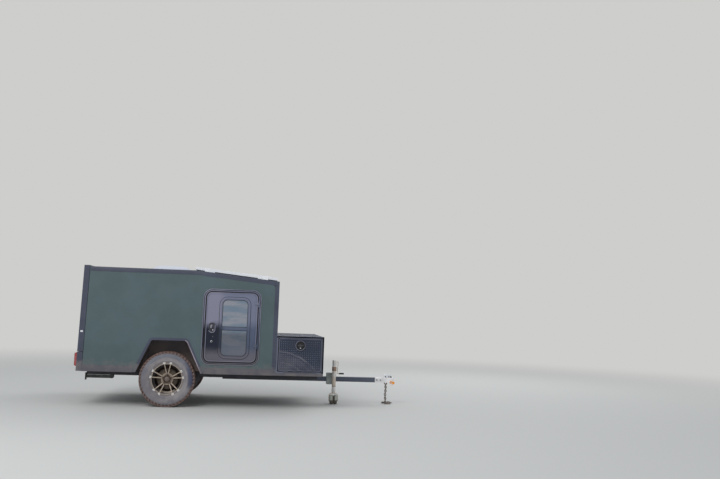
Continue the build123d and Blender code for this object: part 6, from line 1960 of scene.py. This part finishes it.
    def chains(self) -> None:
        """Hang both chains from their bolts, and heap what is left of them on the ground."""
        rest = random.Random(11)
        form = Form()
        pitch = self.link[0] - 4 * self.wire + 0.0006
        for side, _ in SIDES:
            y = side * self.chain_side
            half, top, foot = self.shackle
            bend = [(self.chain_x - half * cos(turn), y, foot - half * sin(turn))
                    for turn in turns(0, 20, 10)]
            form.tube([(self.chain_x - half, y, top), *bend, (self.chain_x + half, y, top)], self.bow, 10)
            level = foot - half + self.bow + 2 * self.wire - self.link[0] / 2
            self.hang(form, y, level, pitch)
            self.pile(form, side, pitch, rest)
        made = form.piece("hitch_chains", "chassis", "chain_steel", spread=60.0)
        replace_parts(made, "safety_chains")

    def hang(self, form: Form, y: float, level: float, pitch: float) -> None:
        """Hang the free links of one chain, each a quarter turn from the last.

        Args:
            form: Form to add them to.
            y: Y of the chain.
            level: Height of the first link's middle.
            pitch: From link to link.
        """
        for index in range(self.hanging):
            wide = Vector((1, -0.25, 0)) if index % 2 else Vector((0.25, 1, 0))
            spot = Vector((self.chain_x + 0.0022 * sin(index * 0.9), y, level - index * pitch))
            self.chain_link(form, spot, Vector((0, 0, 1)), wide.normalized())

    def pile(self, form: Form, side: int, pitch: float, rest: random.Random) -> None:
        """Lay the rest of one chain on the ground, turning back where it leaves the heap.

        Args:
            form: Form to add the links to.
            side: Side of the chain.
            pitch: From link to link.
            rest: Source of the turns and leans.
        """
        up = Vector((0, 0, 1))
        y = side * self.chain_side
        spot = Vector((self.chain_x, y * 1.1, self.wire))
        heading = radians(-20 if side < 0 else 25)
        for index in range(self.heaped):
            heading -= side * radians(rest.uniform(-46, 62))
            way = Vector((cos(heading), sin(heading) * 0.8, 0)).normalized()
            lean = rest.uniform(0.2, 0.7) if index % 2 else rest.uniform(-0.15, 0.15)
            wide = (Vector((-way.y, way.x, 0)) * cos(lean) + up * sin(lean)).normalized()
            rise = (self.link[1] / 2 - self.wire) * abs(sin(lean)) + 0.0005
            spot += way * pitch * 0.92
            if abs(spot.x - self.chain_x - 0.02) > self.heap[0] or abs(spot.y - y) > self.heap[1]:
                heading += pi * 0.8
                spot += Vector((0, 0, 0.0055)) - way * pitch * 1.4
            self.chain_link(form, spot + up * rise, way, wide)


@dataclass
class JackDress:
    """What shows on the tongue jack: its head, collar, bands, grip, straps, nuts and pin.

    Attributes:
        middle: Middle of the jack, as (x, y).
        tube: Radius of its tube.
        head: Section of the head's white band of painted highlight, as (from the tube's face, height).
        crown: Section of its rounded top, as (radius, height).
        collar: Section of the collar band.
        sleeves: Lower and upper ends of the white sleeves of painted highlight.
        lines: Heights of the dark lines.
        grip: Start and end of the grip along the crank's foot, and its height.
        grip_ribs: Ribs on the grip.
        guard: Height of the caster wheel's axle, radius of the straps round it and their thickness.
        guard_in: Half the gap between the straps, at the crown and its growth down to the foot.
        guard_out: The same for the straps' outer edges.
        nut: Section of the bracket's nuts.
        pin: Place of the pull pin from the jack's middle, its end and its height.
    """

    middle: Pair = (1.2135, -0.125)
    tube: float = 0.0254
    head: Section = ((0.0010, 0.505), (0.0016, 0.509), (0.0016, 0.556), (0.0028, 0.560), (0.0028, 0.586),
                     (-0.001, 0.5935))
    crown: Section = ((0.008, 0.5955), (0.002, 0.5956))
    collar: Section = ((0.0003, 0.447), (0.0052, 0.451), (0.0052, 0.499), (0.0003, 0.504))
    sleeves: Section = ((0.367, 0.442), (0.163, 0.232))
    lines: Pair = (0.548, 0.240)
    grip: Triple = (1.279, 1.3485, 0.413)
    grip_ribs: int = 9
    guard: Triple = (0.060, 0.0628, 0.0030)
    guard_in: Pair = (0.004, 0.0115)
    guard_out: Pair = (0.030, 0.0235)
    nut: Section = ((0.0098, 0.0), (0.0098, 0.0016), (0.0070, 0.0020), (0.0070, 0.0068), (0.0040, 0.0078))
    pin: Triple = (-0.020, 0.055, 0.418)

    def build(self) -> None:
        """Dress the jack."""
        axis = frame_at((*self.middle, 0), (0, 0, 1))
        # Painted highlight: white bands at the jack's head and lower down its tube.
        highlight_bands = Form().lathe([*self.on_tube(self.head), *self.crown], axis, 40)
        for low, high in self.sleeves:
            sleeve = [(LIFT, low), (0.0014, low + 0.002), (0.0014, high - 0.002), (LIFT, high)]
            highlight_bands.lathe(self.on_tube(sleeve), axis, 40)
        highlight_bands.piece("jack_highlight_bands", "jack", "jack_zinc", "white_and_highlight")
        band = Form().lathe(self.on_tube(self.collar), axis, 40)
        band.piece("jack_collar_band", "jack", "jack_zinc", "band_brown")
        dark = Form()
        for level in self.lines:
            line = [(LIFT, level), (0.0012, level + 0.001), (0.0012, level + 0.005), (LIFT, level + 0.006)]
            dark.lathe(self.on_tube(line), axis, 40)
        dark.piece("jack_lines", "jack", "jack_zinc", "screw_dark")
        self.grip_sleeve()
        self.bracket_nuts()
        self.pull_pin()
        self.wheel_guards()

    def on_tube(self, section: Section) -> list[Pair]:
        """Turn a section's distances from the tube's face into radii."""
        return [(self.tube + out, level) for out, level in section]

    def wheel_guards(self) -> None:
        """Bow two pale straps from the fork's crown round the caster wheel, at its front and back."""
        x, y = self.middle
        axle, near, thick = self.guard
        far = near + thick
        form = Form()
        for facing in (-1, 1):
            for end in (-1, 1):
                rings = []
                for step, turn in enumerate(turns(88, -7.6, 13)):
                    inner, outer = (x + end * (start + grow * sin(pi / 2 * min(1.0, step / full)))
                                    for (start, grow), full in ((self.guard_in, 7), (self.guard_out, 6)))
                    spots = ((inner, near), (outer, near), (outer, far), (inner, far))
                    rings.append([(side, y + facing * reach * cos(turn), axle + reach * sin(turn))
                                  for side, reach in spots])
                form.rings(rings)
        form.piece("fork_straps", "caster_fork", "jack_zinc", "strap_pale")

    def grip_sleeve(self) -> None:
        """Slide the ribbed rubber grip over the crank's foot."""
        start, end, level = self.grip
        reach = min(end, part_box("jack_tube")[1].x) - start
        profile = [(0.0070, 0.0)]
        for step in range(self.grip_ribs):
            here = reach * (step + 0.2) / self.grip_ribs
            profile += [(0.0104, here), (0.0112, here + reach * 0.03), (0.0104, here + reach * 0.07)]
        axis = frame_at((start, self.middle[1], level), (1, 0, 0), (0, 1, 0))
        form = Form().lathe([*profile, (0.0090, reach)], axis, 20)
        form.piece("crank_grip", "jack", "jack_zinc", "rubber_black")

    def bracket_nuts(self) -> None:
        """Set the nuts on the bracket's outer face."""
        form = Form()
        low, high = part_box("jack_bracket")
        for x in (low.x + 0.016, high.x - 0.030):
            for z in (high.z - 0.014, low.z + 0.014):
                spot = on_surface("jack_bracket", (x, -0.2, z), (0, 1, 0))
                form.lathe(self.nut, frame_at(spot, (0, -1, 0)), 6)
        form.piece("bracket_nuts", "chassis", "jack_zinc", "bare_steel", bevel=0.0004)

    def pull_pin(self) -> None:
        """Stand the pivot's pull pin and its ring on the jack."""
        x, y = self.middle
        ahead, end, level = self.pin
        x += ahead
        form = Form().tube([(x, y + end, level), (x, y + 0.016, level)], 0.0040, 12)
        loop = [(x + 0.011 * sin(turn), y + end + 0.005, level - 0.009 + 0.011 * cos(turn))
                for turn in turns(0, 24, 15)]
        form.tube(loop, 0.0014, 8, closed=True)
        form.piece("pull_pin", "jack", "jack_zinc", "bare_steel")


@dataclass
class RoofDress:
    """The vent's dome, the solar panel's fittings and the seams and screws on the roof.

    Attributes:
        dome: Length and width of the vent's dome.
        dome_rise: Height of the dome over its rim.
        dome_corner: Rounding of its corners.
        rim: Height of its upright rim.
        sheet: Thickness of its skin.
        levels: Rings from the rim to the crown.
        arm: Thickness of a hinge arm, and its height at its rear and at the dome.
        arm_side: From the middle to each pair of arms.
        arm_step: From a pair's middle to each arm.
        knuckle: Section of a hinge knuckle.
        flange: Section of the sealant under the vent's edge.
        seam: Section of the sealant along the roof's trims.
        bolt: Section of the bolts in the solar panel's brackets.
        panel_lean: Lean of the panel, as a direction out of it.
        tabs: Rear and front end of each of the brackets' tabs.
        tab: Outline of a tab, as (end it hangs from, inwards, from the frame's foot).
        panel_deep: Depth of the panel's frame at its rear.
        pitch: From screw to screw along the roof.
        front_pitch: From screw to screw down the front.
    """

    dome: Pair = (0.517, 0.440)
    dome_rise: float = 0.084
    dome_corner: float = 0.060
    rim: float = 0.012
    sheet: float = 0.003
    levels: int = 12
    arm: Triple = (0.004, 0.006, 0.009)
    arm_side: float = 0.120
    arm_step: float = 0.010
    knuckle: Section = ((0.006, -0.011), (0.006, 0.011), (0.0028, 0.011), (0.0028, -0.011))
    flange: Section = ((0.003, -0.0002), (-0.009, -0.0002), (-0.006, 0.0022), (0.001, 0.0042), (0.003, 0.004))
    seam: Section = ((-0.0002, -0.0480), (-0.0002, -0.0580), (0.0012, -0.0560), (0.0028, -0.0500),
                     (0.0028, -0.0480))
    bolt: Section = ((0.0066, 0.0), (0.0066, 0.0012), (0.0048, 0.0014), (0.0048, 0.0048), (0.0030, 0.0054))
    panel_lean: Triple = (0.085, 0, 1)
    tabs: Section = ((-0.530, -0.424), (0.120, 0.217))
    tab: tuple[Triple, ...] = ((0, 0.0, 0.010), (0, 0.0, -0.020), (0, 0.006, -0.026), (1, -0.006, -0.026),
                               (1, 0.0, -0.020), (1, 0.0, 0.010))
    panel_deep: float = 0.035
    pitch: float = 0.20
    front_pitch: float = 0.15

    def build(self) -> None:
        """Dress the roof."""
        self.vent_dome()
        self.vent_fittings()
        self.solar_fittings()
        self.seams()

    def vent_dome(self) -> None:
        """Blow the vent's dome up from its rim, open underneath, and hang its arms on their knuckles."""
        low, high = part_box("vent_lid")
        length, width = self.dome
        middle = high.x - length / 2
        foot = low.z + 0.006
        outline = rounded(rectangle(length, width), self.dome_corner, 6)
        levels = [(1.012, foot), (1.012, foot + 0.003), (1.0, foot + 0.0035), (1.0, foot + self.rim)]
        for step in range(1, self.levels + 1):
            turn = radians(90 * step / self.levels)
            levels.append((cos(turn) ** 0.75 if step < self.levels else 0.02,
                           foot + self.rim + (self.dome_rise - self.rim) * sin(turn) ** 0.95))
        inner = [(share * 0.985, z - self.sheet) for share, z in reversed(levels[2:])]
        form = Form().rings([[(middle + x * share, y * share, z) for x, y in outline]
                             for share, z in (*inner, *levels)])
        thick, rear, front = self.arm
        for side, _ in SIDES:
            for end in (-1, 1):
                y = side * self.arm_side + end * self.arm_step
                form.rings([[(x, *point) for point in rectangle(thick, deep, (y, foot + 0.001 + deep / 2))]
                            for x, deep in ((low.x, rear), (high.x - length + thick, front))])
            axis = frame_at((low.x + 0.006, side * self.arm_side, ROOF_TOP + 0.014), (0, 1, 0))
            form.lathe(self.knuckle, axis, 20, closed=True)
        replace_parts(form.piece("vent_dome", "vent_lid", "vent_white", spread=40.0), "vent_lid")

    def vent_fittings(self) -> None:
        """Set the screws round the vent's flange and the bead of sealant under its edge."""
        low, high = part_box("vent_base")
        heads = Form()
        spots = [(x, y) for y in (-0.196, 0.196) for x in spaced(high.x - 0.404, high.x - 0.012, 0.098)]
        spots += [(high.x - 0.012, y) for y in spaced(-0.150, 0.150, 0.100)]
        for x, y in spots:
            screw(heads, frame_at((x, y, ROOF_TOP + 0.004), (0, 0, 1)), 0.0042, 0.0020)
        heads.piece("vent_screws", "chassis", "vent_white", "bare_steel")
        outline = rounded(rectangle(high.x - low.x + 0.004, high.y - low.y + 0.004), 0.006, 3)
        plan = Matrix.Translation(((low.x + high.x) / 2, 0, ROOF_TOP))
        bead = Form().strip(outline, self.flange, plan, closed=True)
        bead.piece("vent_sealant", "chassis", "vent_white", "sealant_grey")

    def solar_fittings(self) -> None:
        """Bolt the panel's brackets down, lengthen their tabs and mark the frame's mitred corners."""
        low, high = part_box("solar_brackets")
        frame_low, frame_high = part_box("solar_frame")
        bolts, tabs, gaps = Form(), Form(), Form()
        top = frame_high.z - self.panel_deep
        drop = (top - frame_low.z) / (frame_high.x - frame_low.x)
        for side, _ in SIDES:
            for x in (low.x + 0.030, high.x - 0.030):
                for step in (-0.014, 0.014):
                    spot = on_surface("solar_brackets", (x + step, side * (high.y - 0.012), 2.0), (0, 0, -1))
                    bolts.lathe(self.bolt, frame_at(spot, self.panel_lean), 6)
            flat = Matrix(((1, 0, 0, 0), (0, 0, side, side * frame_high.y), (0, 1, 0, 0), (0, 0, 0, 1)))
            for ends in self.tabs:
                xs = [(ends[end] + inwards, hang) for end, inwards, hang in self.tab]
                outline = [(x, top - (x - frame_low.x) * drop + hang) for x, hang in xs]
                tabs.prism(outline, 0.0, 0.0026, flat)
            for x in (frame_low.x + 0.020, frame_high.x - 0.016):
                spot = on_surface("solar_frame", (x, side * (frame_high.y - 0.006), 2.0), (0, 0, -1))
                gaps.prism(rectangle(0.0016, 0.0118), -LIFT, 0.0004, frame_at(spot, self.panel_lean))
        bolts.piece("solar_bolts", "chassis", "solar_alu", "bare_steel")
        tabs.piece("solar_tabs", "chassis", "solar_alu")
        gaps.piece("solar_corner_lines", "chassis", "solar_alu", "screw_dark")

    def seams(self) -> None:
        """Lay sealant along the roof's edge trims and set the screws in them."""
        heads, bead = Form(), Form()
        slope = atan2(ROOF_TOP - ROOF_FRONT, FRONT_X - BEND_X)
        spots = [(x, ROOF_TOP, 0.0) for x in spaced(HATCH_HIGH.x + 0.04, BEND_X - 0.03, self.pitch)]
        spots += [(x, ROOF_TOP - (x - BEND_X) * tan(slope), slope)
                  for x in spaced(BEND_X + 0.06, FRONT_X - 0.04, self.pitch)]
        for side, _ in SIDES:
            for x, z, lean in spots:
                place = (x + sin(lean) * SHEET, side * (HALF - 0.022), z + SHEET)
                screw(heads, frame_at(place, (sin(lean), 0, cos(lean))))
            bead.strip(EdgeTrims.corners[:3], self.seam, side_frame(side))
            for z in spaced(BODY_BOTTOM + 0.09, ROOF_FRONT - 0.05, self.front_pitch):
                screw(heads, frame_at((FRONT_X + SHEET, side * (HALF - 0.024), z), (1, 0, 0)))
        heads.piece("roof_screws", "chassis", "trim_black", "screw_dark")
        bead.piece("roof_sealant", "chassis", "roof_skin", "sealant_grey")
        across = frame_at((FRONT_X, 0, ROOF_FRONT), (0, 1, 0), (1, 0, 0))
        section = [(LIFT, -0.0028), (SHEET, -0.0020), (SHEET, 0.050), (LIFT, 0.050)]
        edge = Form().prism(section, -(HALF - 0.047), HALF - 0.047, across)
        edge.piece("front_top_trim", "chassis", "trim_black")


@dataclass
class RearDress:
    """Lenses, bezels and screws of the tail lamps, and the side latches' faces.

    Attributes:
        ribs: Ribs on each lens.
        rib: Length and height of one.
        lens: Height of the ribbed field.
        bezel: Length and height of the bezel's outline.
        lip: Width of the black bezel.
        rim: Section of a side latch's rim.
    """

    ribs: int = 13
    rib: Pair = (0.056, 0.0052)
    lens: float = 0.124
    bezel: Pair = (0.066, 0.146)
    lip: float = 0.0042
    rim: Section = ((0.0088, -0.0005), (0.0088, 0.0016), (0.0064, 0.0022), (0.0060, 0.0))

    def build(self) -> None:
        """Dress the rear."""
        low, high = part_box("tail_lamps")
        for side, hand in SIDES:
            middle = (low.x, side * (high.y - 0.035), (low.z + high.z) / 2)
            face = frame_at(middle, (-1, 0, 0), (0, 1, 0))
            lens, heads = Form(), Form()
            for z in spaced(-self.lens / 2, self.lens / 2, self.lens / self.ribs):
                lens.prism(rectangle(*self.rib, (0.0, z)), -0.001, 0.0014, face, 0.25)
            for z in (-0.067, 0.067):
                screw(heads, face @ Matrix.Translation((0, z, 0.0004)), 0.0036, 0.0018)
            path = rounded(rectangle(*self.bezel), 0.006, 4)
            bezel = Form().strip(path, flat_bar(-0.004, 0.0022, 0.0, self.lip), face, closed=True)
            lens.piece(f"lamp_ribs_{hand}", "chassis", "lamp_red")
            bezel.piece(f"lamp_bezel_{hand}", "chassis", "lamp_red", "gloss_black")
            heads.piece(f"lamp_screws_{hand}", "chassis", "lamp_red", "bare_steel")
            self.side_latch(side, hand)

    def side_latch(self, side: int, hand: str) -> None:
        """Set a turn slot and a rim on the hatch's side latch.

        Args:
            side: -1 for the right and 1 for the left.
            hand: The side's name, right or left.
        """
        low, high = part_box("hatch_latches")
        axis = frame_at(((low.x + high.x) / 2, side * high.y, (low.z + high.z) / 2), (0, side, 0))
        rim = Form().lathe(self.rim, axis, 24, closed=True)
        slot = Form().prism(rectangle(0.0016, 0.0090), -LIFT, 0.0012, axis)
        rim.piece(f"side_latch_rim_{hand}", "hatch", "latch_white", "bright_chrome")
        slot.piece(f"side_latch_slot_{hand}", "hatch", "latch_white", "screw_dark")


@dataclass
class Studio:
    """Floor, soft light and the camera at the photograph's angle.

    Attributes:
        camera_place: Where the camera stands.
        aim: Direction that it looks in.
        roll_deg: Its lean to one side.
        focal_px: Focal length in pixels of the photograph's frame.
        frame_px: Width of that frame in pixels.
        sensor: Width of the camera's sensor in millimetres.
        floor_size: Edge of the square floor.
        fade: Distances between which the floor fades into the background.
        pale: Colour of the floor and the background.
        sky: Colour of the soft light from all round.
        sky_power: Its strength.
        lamps: Name, place and power in watts of each soft lamp.
        lamp_size: Edge of a lamp's square.
        lit: Point that the lamps face.
    """

    camera_place: Triple = (0.1935, -10.910, 1.164)
    aim: Triple = (0.1205, 0.9874, 0.1022)
    roll_deg: float = 1.92
    focal_px: float = 777.5
    frame_px: float = 720.0
    sensor: float = 36.0
    floor_size: float = 160.0
    fade: Pair = (5.0, 16.0)
    pale: Colour = shade(206, 206, 204)
    sky: Colour = (0.92, 0.96, 1.0, 1.0)
    sky_power: float = 0.62
    lamps: tuple[tuple[str, Triple, float], ...] = (("key_light", (-4.0, -7.0, 7.0), 320.0),
                                                    ("fill_light", (5.0, 5.5, 6.0), 170.0))
    lamp_size: float = 5.0
    lit: Triple = (0.0, 0.0, 0.8)

    def build(self) -> None:
        """Set up the whole studio."""
        self.camera()
        self.floor()
        self.world()
        for name, place, power in self.lamps:
            self.lamp(name, place, power)
        bpy.context.scene.view_settings.view_transform = "Standard"

    def camera(self) -> None:
        """Place the camera as it stood for the photograph."""
        ahead = Vector(self.aim).normalized()
        level = ahead.cross(Vector((0, 0, 1))).normalized()
        upright = level.cross(ahead)
        lean = radians(self.roll_deg)
        right = cos(lean) * level + sin(lean) * upright
        up = -sin(lean) * level + cos(lean) * upright
        lens = bpy.data.cameras.new("photo_camera")
        lens.sensor_width = self.sensor
        lens.lens = self.focal_px / self.frame_px * self.sensor
        camera = bpy.data.objects.new("photo_camera", lens)
        turn = Matrix((right, up, -ahead)).transposed().to_4x4()
        camera.matrix_world = Matrix.Translation(self.camera_place) @ turn
        bpy.context.scene.collection.objects.link(camera)
        bpy.context.scene.camera = camera

    def floor(self) -> None:
        """Lay a pale floor that fades into the background far out."""
        mesh = bpy.data.meshes.new("studio_floor")
        corners = [(x, y, 0) for x, y in rectangle(self.floor_size, self.floor_size)]
        mesh.from_pydata(corners, [], [(0, 1, 2, 3)])
        floor = bpy.data.objects.new("studio_floor", mesh)
        bpy.context.scene.collection.objects.link(floor)
        made = Shading("studio_floor")
        made.set(Base_Color=self.pale, Roughness=0.9)
        away = made.node("ShaderNodeVectorMath", {"operation": "LENGTH"})
        made.join(made.place, away.inputs[0])
        glow = made.node("ShaderNodeEmission", None, Color=self.pale, Strength=1.0)
        mix = made.node("ShaderNodeMixShader")
        for index, value in enumerate((made.between(away.outputs["Value"], *self.fade),
                                       made.shader.outputs["BSDF"], glow.outputs["Emission"])):
            made.join(value, mix.inputs[index])
        made.join(mix.outputs["Shader"], made.tree.nodes["Material Output"].inputs["Surface"])
        floor.data.materials.append(made.material)

    def world(self) -> None:
        """Light everything softly and show the pale background to the camera, gloss and glass."""
        world = bpy.data.worlds.new("studio_world")
        world.use_nodes = True
        nodes, links = world.node_tree.nodes, world.node_tree.links
        soft, shown = nodes["Background"], nodes.new("ShaderNodeBackground")
        for background, colour, strength in ((soft, self.sky, self.sky_power), (shown, self.pale, 1.0)):
            background.inputs["Color"].default_value = colour
            background.inputs["Strength"].default_value = strength
        rays = nodes.new("ShaderNodeLightPath").outputs
        direct = rays["Is Camera Ray"]
        for kind in ("Is Glossy Ray", "Is Transmission Ray"):
            either = nodes.new("ShaderNodeMath")
            either.operation = Sum.MOST.value
            links.new(direct, either.inputs[0])
            links.new(rays[kind], either.inputs[1])
            direct = either.outputs["Value"]
        mix = nodes.new("ShaderNodeMixShader")
        for index, value in enumerate((direct, soft.outputs["Background"], shown.outputs["Background"])):
            links.new(value, mix.inputs[index])
        links.new(mix.outputs["Shader"], nodes["World Output"].inputs["Surface"])
        bpy.context.scene.world = world

    def lamp(self, name: str, place: Triple, power: float) -> None:
        """Hang one large soft lamp that faces the middle of the trailer.

        Args:
            name: Name of the lamp.
            place: Where it hangs.
            power: Its power in watts.
        """
        data = bpy.data.lights.new(name, "AREA")
        data.size = self.lamp_size
        data.energy = power
        lamp = bpy.data.objects.new(name, data)
        lamp.location = place
        lamp.rotation_euler = (Vector(self.lit) - Vector(place)).to_track_quat("-Z", "Y").to_euler()
        bpy.context.scene.collection.objects.link(lamp)


def main() -> None:
    """Build every sub-assembly in order."""
    logging.basicConfig(level=logging.INFO, format="%(name)s %(message)s")
    WARDROBE.dress_nodes()
    for assembly in (EdgeTrims(), HatchTrims(), Tyre(), WheelDress(), DoorDress(), ToolboxDress(),
                     CouplerDress(), JackDress(), RoofDress(), RearDress(), Studio()):
        LOG.info("building %s", type(assembly).__name__)
        assembly.build()
    bpy.context.view_layer.update()


if __name__ == "__main__":
    main()
